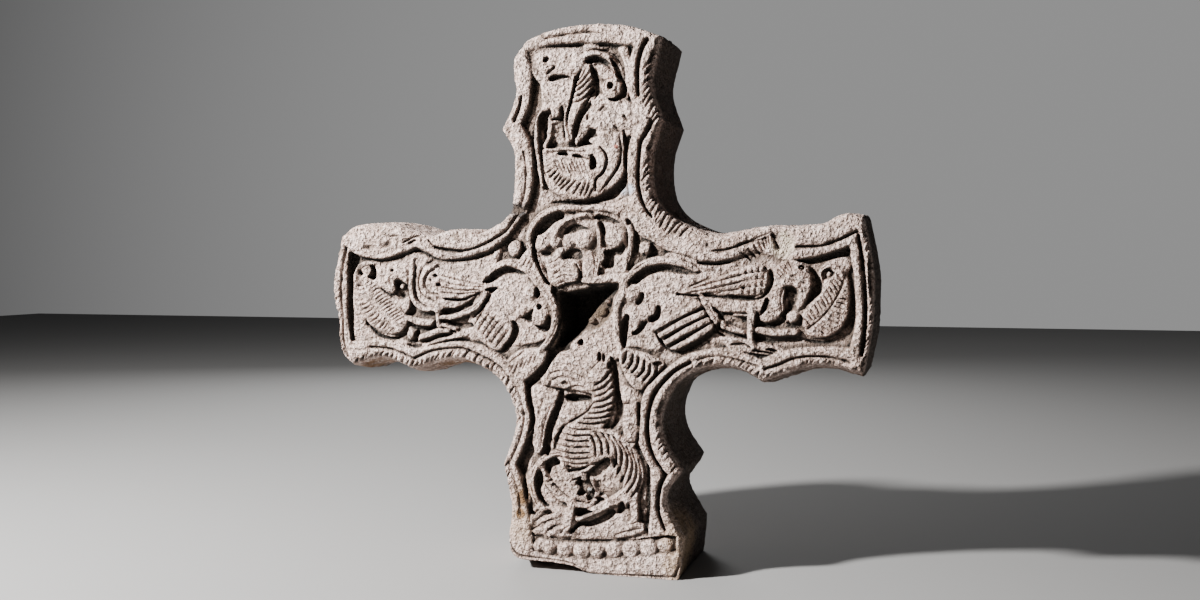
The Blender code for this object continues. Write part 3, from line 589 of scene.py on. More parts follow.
    # Sinkings in the roundel
    relief.pit([(-83, 520), (-78, 534), (-66, 545), (-50, 552), (-40, 552), (-40, 545),
                (-52, 539), (-64, 529), (-74, 521)], -15, 1.5)
    relief.pit([(-82, 516), (-84, 500), (-80, 482), (-72, 462), (-60, 444), (-66, 444),
                (-78, 464), (-86, 482), (-89, 500), (-87, 516)], -13, 1.5)
    relief.pit([(8, 546), (22, 549), (38, 545), (50, 537), (34, 537), (18, 540)], -14, 1.5)
    relief.pit([(-40, 520), (-34, 530), (-22, 536), (-8, 533), (2, 527), (-12, 527),
                (-26, 522)], -14, 1.5)
    relief.pit([(-40, 484), (-34, 494), (-22, 498), (-12, 496), (-9, 486), (-16, 481),
                (-28, 482)], -15, 1.5)
    relief.pit([(-76, 492), (-60, 494), (-62, 487), (-70, 486)], -13, 1.5)
    relief.pit([(26, 494), (38, 497), (50, 500), (56, 506), (57, 496), (51, 488), (42, 487),
                (40, 470), (28, 468), (22, 474), (28, 484)], -15, 1.5)
    relief.pit([(18, 540), (24, 537), (28, 524), (26, 517), (20, 526)], -14, 1.5)
    relief.pit([(75, 524), (81, 516), (81, 500), (76, 490), (73, 500)], -13, 1.5)
    relief.pit([(99, 504), (106, 500), (108, 490), (100, 485), (90, 484), (98, 492)], -14, 1.5)
    relief.pit([(79, 480), (84, 490), (91, 490), (88, 482)], -12, 1.5)
    relief.pit([(61, 542), (66, 542), (68, 535), (62, 533)], -9, 1.5)
    relief.cut([(50, 551), (51, 546)], 4, 4)
    relief.cut([(-107, 508), (-106, 494), (-112, 485)], 3, 4)
    relief.cut([(-92, 492), (-97, 514), (-88, 538), (-68, 555), (-46, 562)], 2.4, 2.5)
    relief.cut([(-84, 474), (-90, 498), (-90, 518), (-80, 537), (-64, 549)], 2.2, 2)
    relief.cut([(-52, 506), (-46, 524), (-34, 537), (-14, 545), (4, 547)], 2.4, 2.5)
    relief.cut([(-40, 566), (-10, 566), (30, 564), (58, 552)], 2.2, 2)
    relief.cut([(66, 540), (70, 520), (69, 498), (62, 478)], 2.4, 2.5)
    relief.cut([(60, 530), (63, 512), (62, 494)], 2.2, 2)
    relief.cut([(15, 548), (18, 520), (18, 496), (15, 470), (12, 452)], 2.4, 2.5)
    relief.cut([(-18, 474), (-13, 464), (-11, 450)], 4, 5)
    relief.cut([(8, 492), (12, 476), (10, 456)], 2.4, 2.5)
    relief.hatch([(-64, 484), (-58, 462), (-48, 444)], [(-50, 490), (-42, 470), (-34, 450)], 6, 2.8,
                 2.5)
    relief.hatch([(-40, 476), (-38, 452)], [(-22, 474), (-18, 450)], 5, 2.8, 2.5)
    relief.cut([(24, 458), (44, 461), (64, 462)], 2.6, 3)
    # Lines and shadows of the arching stems
    relief.cut([(-166, 452), (-150, 470), (-128, 478), (-106, 475), (-88, 462), (-68, 438),
                (-54, 414), (-48, 394), (-54, 370), (-66, 352)], 2.4, 2.5)
    relief.cut([(-158, 452), (-144, 464), (-126, 471), (-106, 467), (-92, 458)], 2.2, 2)
    relief.hatch([(-114, 470), (-92, 466)], [(-102, 486), (-84, 482)], 4, 2.8, 3)
    relief.pit([(-171, 446), (-160, 456), (-148, 464), (-130, 468), (-112, 465), (-98, 459),
                (-112, 459), (-130, 461), (-146, 454), (-158, 445)], -14, 1.5)
    relief.pit([(69, 446), (73, 456), (84, 462), (100, 469), (122, 471), (142, 467), (158, 459),
                (142, 460), (118, 463), (98, 458), (84, 450), (76, 444)], -14, 1.5)
    relief.cut([(74, 466), (98, 480), (128, 483), (160, 474)], 2.4, 2.5)
    relief.cut([(86, 468), (106, 474), (132, 476), (156, 470)], 2.2, 2)
    relief.cut([(120, 494), (142, 490), (172, 480)], 2.4, 2.5)
    # Berries and leaves left of the hollow
    relief.pit([(-84, 436), (-80, 438), (-77, 430), (-80, 422), (-85, 424)], -13, 1.5)
    relief.pit([(-82, 412), (-77, 413), (-74, 408), (-77, 404), (-82, 405)], -13, 1.5)
    relief.pit([(-88, 406), (-90, 396), (-90, 386), (-96, 384), (-104, 388), (-112, 391),
                (-102, 394), (-96, 400)], -13, 1.5)
    relief.pit([(-63, 396), (-60, 386), (-62, 374), (-70, 369), (-80, 374), (-86, 381),
                (-76, 379), (-67, 384)], -14, 1.5)
    relief.pit([(-140, 338), (-128, 344), (-118, 356), (-112, 370), (-116, 384), (-124, 386),
                (-122, 374), (-126, 360), (-136, 348)], -14, 1.5)
    relief.hatch([(-188, 376), (-150, 344)], [(-166, 408), (-126, 374)], 6, 3.2, 3.5)
    relief.hatch([(-186, 380), (-170, 402)], [(-146, 344), (-126, 366)], 4, 3, 3)
    relief.cut([(-132, 318), (-112, 332), (-98, 344)], 2.6, 2.5)
    relief.hatch([(-128, 298), (-88, 320)], [(-118, 322), (-80, 338)], 6, 2.8, 2.2)
    # Fruit and leaves right of the hollow
    relief.pit([(84, 432), (89, 430), (87, 420), (80, 412), (75, 416), (82, 424)], -13, 1.5)
    relief.pit([(108, 412), (114, 410), (113, 396), (105, 388), (96, 388), (98, 396),
                (106, 400)], -14, 1.5)
    relief.pit([(68, 370), (74, 366), (84, 372), (91, 382), (94, 390), (86, 386), (76, 376)],
               -14, 1.5)
    relief.pit([(60, 398), (66, 396), (64, 382), (62, 364), (58, 346), (52, 362), (53, 384)], -15,
               1.5)
    for start, middle, end in (
        ((72, 338), (70, 326), (64, 316)), ((81, 334), (78, 320), (70, 310)),
        ((90, 330), (88, 314), (79, 304)), ((99, 324), (97, 310), (88, 299)),
        ((110, 324), (106, 306), (97, 295)), ((62, 342), (60, 332), (56, 324)),
    ):
        relief.cut([start, middle, end], [3, 5, 3], 6)
    relief.pit([(102, 326), (112, 329), (118, 325), (112, 321), (104, 322)], -10, 1.5)


def carve_socket(relief):
    """The black channel that runs out of the hollow at the crossing, and the small drill hole."""
    relief.pit([(-42, 376), (-48, 360), (-56, 348), (-64, 338), (-70, 322), (-84, 304), (-99, 288),
                (-96, 282), (-82, 292), (-68, 306), (-56, 326), (-48, 336), (-30, 343), (-26, 356),
                (-14, 368)], -17, 2.5)
    relief.pit([(-16, 352), (-15, 358), (-9, 360), (-7, 353), (-11, 349)], -16, 1.5)
    relief.pit([(-26, 352), (-16, 362), (-6, 361), (-10, 350)], -6, 3)
    relief.pit([(50, 440), (41, 424), (36, 404), (28, 390), (15, 379), (2, 375), (-9, 370),
                (-17, 372), (-10, 394), (6, 413), (22, 424), (36, 436)], -19, 5)
    relief.boss((20, 402), (18, 14), -12)
    relief.boss((4, 388), (12, 10), -13)
    relief.boss((30, 416), (10, 8), -13)
    relief.pit([(17, 339), (21, 340), (21, 328), (17, 328)], -12, 1.2)
    relief.pit([(24, 338), (28, 336), (27, 326), (24, 328)], -11, 1.2)
    relief.pit([(34, 326), (40, 318), (36, 314), (32, 318)], -12, 1.2)


def carve_left_arm(relief):
    """A bird facing the end of the arm, before a curled leaf and standing on a branch."""
    # Ground round the bird
    relief.plate([(-346, 476), (-318, 482), (-284, 494), (-250, 482), (-200, 480), (-165, 488),
                  (-140, 500), (-150, 470), (-168, 446), (-200, 440), (-260, 430), (-300, 440),
                  (-330, 456)], -6, 6, 0.5)
    relief.plate([(-388, 400), (-378, 384), (-352, 366), (-320, 360), (-290, 350), (-262, 356),
                  (-230, 366), (-196, 372), (-176, 352), (-210, 356), (-250, 352), (-286, 346),
                  (-320, 353), (-356, 358), (-390, 357)], -7, 4, 0.5)
    relief.plate([(-392, 456), (-396, 430), (-395, 400), (-393, 358), (-374, 352), (-372, 400),
                  (-382, 430)], -4.5, 4, 0.5)
    # Leaf with its tip curled over
    relief.plate([(-386, 458), (-391, 435), (-387, 410), (-377, 389), (-360, 372), (-335, 362),
                  (-314, 362), (-301, 373), (-298, 386), (-305, 398), (-316, 412), (-332, 424),
                  (-348, 436), (-358, 448), (-372, 460)], -1, 6, 3)
    relief.plate([(-392, 402), (-380, 384), (-356, 366), (-330, 358), (-300, 352), (-300, 344),
                  (-330, 349), (-360, 352), (-392, 350)], -3, 4, 0.5)
    relief.plate([(-388, 452), (-386, 470), (-372, 480), (-350, 478), (-336, 472), (-330, 456),
                  (-332, 440), (-352, 434), (-370, 444)], -3, 4)
    relief.bar([(-387, 438), (-389, 455), (-383, 469), (-371, 475), (-358, 474)],
               [8, 10, 10, 9, 7], -0.6)
    relief.boss((-371, 464), (15, 14), -1)
    # Head and throat
    relief.plate([(-342, 454), (-326, 450), (-316, 440), (-322, 426), (-334, 428), (-348, 440)], -3,
                 4)
    relief.plate([(-336, 470), (-325, 479), (-306, 480), (-290, 484), (-287, 466), (-294, 450),
                  (-298, 440), (-310, 448), (-319, 447), (-327, 440), (-333, 452)], -1, 5, 2)
    relief.plate([(-324, 424), (-310, 418), (-297, 424), (-292, 410), (-300, 396), (-314, 400),
                  (-328, 414)], -2.5, 4, 1)
    # Breast, body and wing
    relief.bar([(-289, 484), (-291, 458), (-292, 434), (-286, 414), (-272, 404), (-252, 400),
                (-226, 402)], [8, 10, 11, 11, 10, 9, 6], -1)
    relief.plate([(-286, 482), (-284, 456), (-286, 430), (-278, 412), (-258, 402), (-226, 402),
                  (-198, 412), (-180, 428), (-168, 436), (-200, 440), (-240, 456), (-262, 476)],
                 -2.5, 5, 1.5)
    relief.plate([(-254, 472), (-268, 462), (-274, 446), (-270, 430), (-256, 421), (-236, 419),
                  (-206, 420), (-180, 428), (-148, 438), (-166, 446), (-196, 454), (-226, 464)],
                 -0.5, 6, 2)
    relief.bar([(-251, 472), (-265, 463), (-272, 449), (-271, 435), (-262, 426), (-248, 422)], 6,
               0, -4)
    # Tail, leg, branch and bud
    relief.bar([(-164, 434), (-171, 418), (-184, 406), (-202, 397), (-222, 391), (-240, 390)],
               [10, 13, 13, 12, 11, 8], -1)
    relief.bar([(-248, 410), (-247, 394), (-245, 378)], [14, 9, 10], -1.2)
    relief.bar([(-298, 388), (-278, 382), (-258, 381)], [9, 13, 13], -1)
    relief.boss((-291, 364), (21, 25), -1)
    relief.bar([(-282, 356), (-262, 362), (-246, 368), (-228, 369)], [10, 12, 12, 8], -1.2)
    relief.bar([(-246, 378), (-232, 376), (-216, 372)], [9, 9, 7], -2.5)
    relief.bar([(-272, 346), (-250, 352), (-226, 358), (-200, 362)], [8, 10, 9, 7], -2.5)
    # Sinkings
    relief.pit([(-399, 492), (-386, 488), (-384, 478), (-388, 466), (-394, 458), (-401, 462)], -15)
    relief.pit([(-401, 462), (-397, 460), (-397, 430), (-397, 390), (-394, 354), (-397, 354),
                (-401, 390), (-400, 430)], -12, 1.2)
    relief.pit([(-364, 472), (-357, 472), (-353, 464), (-354, 452), (-360, 448), (-368, 453),
                (-363, 457), (-361, 464)], -15, 1.5)
    relief.pit([(-383, 461), (-379, 464), (-377, 459), (-380, 455)], -11, 1.2)
    relief.pit([(-320, 445), (-314, 448), (-308, 446), (-301, 441), (-302, 435), (-306, 431),
                (-305, 424), (-310, 420), (-314, 424), (-316, 431), (-320, 437)], -15, 1.5)
    relief.boss((-309, 438), (10, 9), -6)
    relief.pit([(-328, 462), (-327, 466), (-322, 466), (-323, 461)], -8, 1.2)
    relief.cut([(-326, 440), (-330, 452), (-324, 458)], 3, 3)
    relief.cut([(-330, 430), (-318, 416), (-306, 398)], 3, 3)
    relief.pit([(-303, 394), (-296, 398), (-290, 404), (-286, 398), (-290, 392), (-297, 391)], -14,
               1.5)
    relief.pit([(-286, 402), (-276, 398), (-260, 397), (-258, 392), (-268, 391), (-280, 394)], -13,
               1.5)
    relief.cut([(-295, 478), (-297, 456), (-298, 434), (-293, 413), (-284, 403)], 2.4, 2)
    relief.cut([(-283, 474), (-286, 454), (-287, 434), (-281, 418), (-268, 408), (-250, 405)],
               2.4, 2)
    relief.cut([(-256, 480), (-271, 470), (-279, 450), (-277, 432), (-268, 422), (-252, 416)],
               3, 3)
    relief.cut([(-252, 466), (-262, 459), (-267, 448), (-266, 437), (-258, 429), (-246, 427)],
               3, 3)
    relief.hatch([(-292, 470), (-294, 450), (-295, 430)], [(-287, 472), (-288, 452), (-290, 432)],
                 6, 2, 2)
    relief.pit([(-254, 456), (-250, 459), (-246, 455), (-251, 453)], -8, 1)
    relief.pit([(-249, 442), (-243, 445), (-240, 441), (-245, 438)], -7, 1)
    relief.pit([(-261, 450), (-257, 452), (-256, 447), (-260, 446)], -5, 1)
    relief.cut([(-240, 456), (-205, 448), (-168, 441)], [2.5, 3.5, 2.5], 3.5)
    relief.cut([(-240, 447), (-205, 440), (-166, 438)], [3, 4, 2], 3.5)
    relief.cut([(-241, 438), (-206, 433), (-176, 434)], [3, 4, 2.5], 3.5)
    relief.cut([(-240, 430), (-212, 427), (-186, 430)], [3, 3.5, 2.5], 3)
    relief.pit([(-240, 421), (-222, 420), (-206, 420), (-190, 425), (-174, 432), (-190, 422),
                (-204, 416), (-226, 416)], -12, 1.2)
    relief.pit([(-186, 394), (-175, 405), (-165, 421), (-150, 434), (-147, 438), (-156, 438),
                (-168, 434), (-158, 428), (-163, 415), (-174, 400), (-188, 389)], -14, 1.5)
    relief.cut([(-168, 430), (-176, 416), (-190, 405), (-210, 397), (-236, 393)], 2.4, 3)
    relief.pit([(-231, 386), (-214, 382), (-194, 383), (-187, 377), (-196, 374), (-212, 374),
                (-230, 378)], -14, 1.5)
    relief.pit([(-240, 402), (-228, 405), (-212, 402), (-204, 404), (-216, 397), (-236, 394)],
               -14, 1.5)
    relief.pit([(-250, 396), (-253, 400), (-262, 398), (-254, 392)], -11, 1.5)
    relief.pit([(-296, 378), (-278, 374), (-258, 376), (-252, 382), (-254, 372), (-272, 368),
                (-290, 371)], -14, 1.5)
    relief.pit([(-284, 374), (-280, 366), (-281, 354), (-290, 348), (-299, 351), (-289, 355),
                (-285, 364)], -14, 1.5)
    relief.pit([(-279, 349), (-264, 355), (-250, 361), (-236, 365), (-222, 364), (-232, 359),
                (-248, 356), (-264, 349)], -12, 1.5)
    relief.cut([(-240, 374), (-228, 372), (-218, 366)], 3, 4)
    relief.cut([(-260, 346), (-236, 352), (-206, 358)], 2.5, 3)
    relief.pit([(-366, 374), (-352, 365), (-336, 359), (-318, 358), (-302, 368), (-298, 378),
                (-300, 364), (-318, 353), (-340, 354), (-356, 361)], -14, 1.5)
    # Veins of the leaf
    relief.cut([(-380, 446), (-368, 424), (-350, 402), (-332, 384), (-320, 368)], 3, 2.5)
    relief.hatch([(-388, 440), (-386, 412), (-374, 390), (-352, 370), (-334, 364)],
                 [(-374, 440), (-366, 420), (-352, 402), (-336, 386), (-324, 372)], 14, 2.8, 3,
                 1)
    relief.hatch([(-370, 442), (-356, 418), (-338, 398), (-322, 380)],
                 [(-360, 450), (-338, 430), (-318, 410), (-304, 390)], 15, 2.8, 3, -1)
    # Worn rolls on the upper edge, with two oval scars and a cut
    relief.cut([(-392, 496), (-366, 491), (-340, 490), (-314, 497), (-290, 508)], [3, 6, 7, 6, 3],
               2.2)
    relief.pit([(-380, 500), (-366, 506), (-350, 505), (-356, 497), (-370, 495)], -3.5, 4)
    relief.pit([(-345, 498), (-338, 509), (-322, 512), (-328, 500)], -3.5, 4)
    relief.cut([(-262, 512), (-248, 500), (-228, 494), (-205, 493)], [3, 4, 5, 4], 4)
    relief.cut([(-304, 508), (-292, 514), (-276, 520)], 3.5, 4)
    relief.cut([(-294, 508), (-284, 512)], 4.5, 5)
    relief.cut([(-328, 518), (-316, 519)], 3, 3)


def carve_right_arm(relief):
    """A bird facing the end of the arm and biting a leaf, its tail spread behind it."""
    # Ground round the bird
    relief.plate([(140, 420), (150, 446), (196, 474), (240, 488), (266, 494), (300, 484),
                  (330, 478), (300, 470), (270, 440), (200, 424), (180, 414)], -6, 5, 0.5)
    relief.plate([(318, 400), (330, 420), (346, 440), (352, 470), (372, 486), (390, 484),
                  (396, 470), (380, 440), (350, 400), (330, 380)], -7, 4, 0.5)
    # Breast, body and neck
    relief.plate([(178, 428), (210, 428), (250, 426), (272, 440), (284, 458), (296, 450),
                  (302, 436), (299, 420), (300, 408), (290, 396), (276, 392), (266, 398),
                  (254, 404), (236, 402), (212, 402), (192, 412)], -1.5, 5, 2)
    relief.plate([(274, 440), (280, 458), (286, 472), (296, 481), (310, 484), (324, 481),
                  (334, 472), (339, 458), (341, 444), (337, 430), (330, 416), (321, 408),
                  (316, 411), (318, 424), (318, 438), (310, 441), (300, 440), (290, 430),
                  (278, 428)], -0.8, 6, 2)
    # Wing
    relief.plate([(138, 430), (158, 442), (180, 452), (206, 463), (232, 472), (252, 475),
                  (268, 473), (276, 462), (277, 446), (270, 433), (254, 427), (222, 428),
                  (182, 430), (152, 428)], -0.2, 5, 1.5)
    # Legs, branch, and the bud that the beak bites
    relief.bar([(252, 410), (251, 390), (250, 370), (254, 352)], [20, 13, 12, 11], -0.8)
    relief.plate([(262, 404), (278, 410), (292, 404), (292, 394), (276, 388), (264, 392)], -2, 4)
    relief.bar([(262, 378), (286, 374), (316, 376)], [12, 13, 13], -1)
    relief.boss((312, 398), (21, 20), -0.8)
    relief.bar([(296, 392), (304, 396)], 9, -2.5)
    relief.plate([(224, 404), (248, 404), (246, 398), (226, 398)], -3, 2)
    relief.plate([(206, 366), (236, 366), (266, 360), (296, 352), (296, 342), (262, 342),
                  (220, 348)], -3.5, 4)
    # Leaf
    relief.plate([(330, 378), (324, 392), (326, 408), (340, 424), (350, 440), (354, 460),
                  (358, 472), (372, 478), (386, 470), (393, 448), (395, 420), (390, 394),
                  (377, 376), (356, 367), (336, 370)], -0.8, 6, 3)
    relief.bar([(352, 446), (352, 462), (360, 472), (372, 473), (380, 464)], [6, 8, 10, 10, 8],
               -0.6)
    relief.boss((363, 460), (17, 16), -1)
    # Tail feathers and the crossed stems before them
    for start, middle, end in (
        ((103, 377), (140, 398), (180, 417)), ((112, 366), (150, 388), (190, 406)),
        ((122, 356), (160, 378), (198, 397)), ((132, 346), (168, 366), (202, 388)),
    ):
        relief.bar([start, middle, end], [10, 12.5, 11], -0.8)
    relief.bar([(174, 432), (184, 416), (194, 398), (206, 386), (222, 378), (240, 374)],
               [9, 13, 13, 13, 12, 9], -0.6)
    # Wing: cut feathers, and dimpled scales at the shoulder
    for points in (
        [(158, 441), (186, 452), (212, 461), (236, 469)],
        [(152, 436), (186, 445), (214, 453), (236, 459)],
        [(156, 432), (190, 438), (216, 444), (238, 449)],
        [(170, 430), (198, 433), (220, 436), (240, 439)],
    ):
        relief.cut(points, [3, 4.5, 4], 4)
    for column in range(4):
        for row in range(4):
            across = 240 + 9 * column - 1.5 * row
            relief.boss((across, 465 - 10 * row + 1.2 * column), (7.5, 8.5), 0.4, -2.5)
            relief.cut([(across + 4, 470 - 10 * row), (across + 4.5, 462 - 10 * row)], 2.4, 2.5)
    relief.cut([(237, 460), (256, 463), (270, 464)], 2.4, 2.5)
    relief.cut([(236, 450), (256, 453), (272, 453)], 2.4, 2.5)
    relief.cut([(236, 440), (256, 442), (270, 442)], 2.4, 2.5)
    relief.cut([(140, 430), (160, 428), (190, 427), (222, 424), (254, 423), (272, 430), (281, 446),
                (279, 464)], [5, 4, 4, 4.5, 5, 5, 4], 6)
    relief.pit([(278, 466), (283, 462), (284, 448), (276, 434), (266, 427), (272, 436),
                (279, 448)], -12, 1.5)
    relief.cut([(150, 424), (176, 422), (196, 420)], 2.4, 2.5)
    # Head, neck and legs
    relief.hatch([(286, 458), (292, 470), (304, 480)], [(294, 452), (302, 460), (312, 466)], 6,
                 3.2, 3.5)
    relief.pit([(320, 470), (324, 474), (329, 471), (326, 466)], -9, 1)
    relief.boss((324, 470), (4, 4), -3)
    relief.hatch([(322, 450), (326, 460), (334, 468)], [(334, 444), (337, 454), (341, 461)], 4, 2.5,
                 2.5)
    relief.cut([(304, 450), (316, 450), (325, 442), (328, 430)], 2.6, 2.5)
    relief.cut([(310, 458), (320, 458), (330, 448)], 2.2, 2)
    relief.pit([(273, 426), (277, 421), (273, 408), (264, 399), (266, 409)], -12, 1)
    relief.pit([(352, 461), (357, 468), (366, 469), (372, 462), (367, 455), (357, 453)], -8, 2)
    relief.boss((363, 461), (8, 7), -3.5, -7)
    relief.pit([(300, 432), (302, 440), (314, 440), (318, 430), (314, 414), (308, 406), (301, 402),
                (304, 416)], -15, 2)
    relief.pit([(337, 471), (346, 463), (354, 449), (353, 434), (344, 425), (331, 415),
                (334, 424), (341, 438), (343, 452)], -15, 2)
    relief.cut([(298, 440), (294, 424), (296, 408)], 2.5, 3)
    relief.pit([(262, 386), (266, 392), (276, 387), (290, 391), (299, 400), (303, 396), (298, 388),
                (280, 383), (266, 382)], -14, 1.5)
    relief.pit([(259, 404), (263, 400), (262, 388), (259, 384)], -11, 1.2)
    relief.cut([(210, 401), (230, 402), (244, 402)], 3.5, 4.5)
    relief.pit([(220, 392), (230, 395), (243, 395), (244, 390), (232, 388)], -13, 1.5)
    relief.pit([(258, 372), (268, 368), (286, 364), (304, 368), (318, 370), (330, 366),
                (318, 361), (300, 360), (280, 358), (262, 364)], -14, 1.5)
    relief.pit([(322, 402), (326, 398), (325, 388), (320, 386), (323, 394)], -13, 1)
    relief.cut([(208, 398), (206, 390), (214, 384), (230, 379)], 2.2, 3)
    relief.cut([(180, 430), (190, 410), (200, 394), (213, 384), (238, 376)], 2.6, 3)
    relief.cut([(172, 424), (181, 408), (191, 392), (205, 379), (236, 369)], [3, 4, 4, 5, 4], 6)
    relief.cut([(196, 384), (200, 374), (210, 368)], 3, 5)
    relief.pit([(200, 360), (206, 363), (214, 361), (208, 358)], -11, 1.2)
    relief.cut([(222, 356), (240, 357), (250, 352)], 4, 5)
    relief.cut([(254, 348), (266, 346), (282, 344)], 4, 6)
    relief.pit([(272, 350), (280, 352), (290, 348), (284, 345)], -11, 1.5)
    # Veins of the leaf
    relief.cut([(332, 380), (352, 396), (368, 416), (380, 438), (387, 460)], 3.5, 4)
    relief.hatch([(328, 396), (346, 420), (362, 440), (374, 462)], [(338, 386), (355, 404),
                 (371, 424), (384, 450)], 12, 3.4, 4)
    relief.hatch([(344, 384), (364, 403), (379, 426)], [(360, 372), (383, 394), (392, 424)], 9, 3.2,
                 3.5)
    relief.cut([(350, 452), (352, 466), (364, 474), (378, 470)], 2.4, 3)
    relief.cut([(358, 456), (362, 466), (371, 462)], 2.6, 3)
    relief.pit([(393, 470), (397, 450), (401, 420), (400, 388), (392, 370), (376, 361), (352, 359),
                (330, 361), (332, 367), (354, 364), (374, 371), (388, 388), (395, 414),
                (395, 440)], -14, 2)
    relief.pit([(317, 480), (334, 482), (352, 485), (372, 491), (392, 498), (392, 488), (374, 483),
                (354, 478), (336, 475)], -14, 2)
    relief.pit([(170, 478), (186, 477), (206, 478), (224, 480), (216, 475), (196, 472),
                (176, 473)], -12, 2)
    relief.cut([(150, 480), (168, 472), (176, 464)], 3, 4)
    relief.pit([(112, 366), (106, 374), (110, 360), (124, 344), (140, 340), (162, 348), (186, 362),
                (204, 378), (203, 388), (186, 368), (164, 354), (142, 345), (126, 350)], -14, 1.5)
    # Pale break, the rough scar beside it, and the roll lost from the end of the arm
    relief.pit([(420, 486), (430, 492), (448, 482), (448, 422), (434, 416), (421, 428),
                (418, 455)], -10, 4)
    relief.pit([(278, 522), (290, 526), (310, 522), (316, 500), (312, 484), (296, 478),
                (284, 488)], -5, 8)
    relief.cut([(281, 518), (286, 508), (291, 498)], 3, 3)
    relief.hatch([(238, 492), (262, 508), (276, 516)], [(250, 480), (268, 494), (278, 504)], 7, 5,
                 3.5)
    relief.cut([(200, 492), (228, 500), (256, 512), (276, 520)], 3, 3)


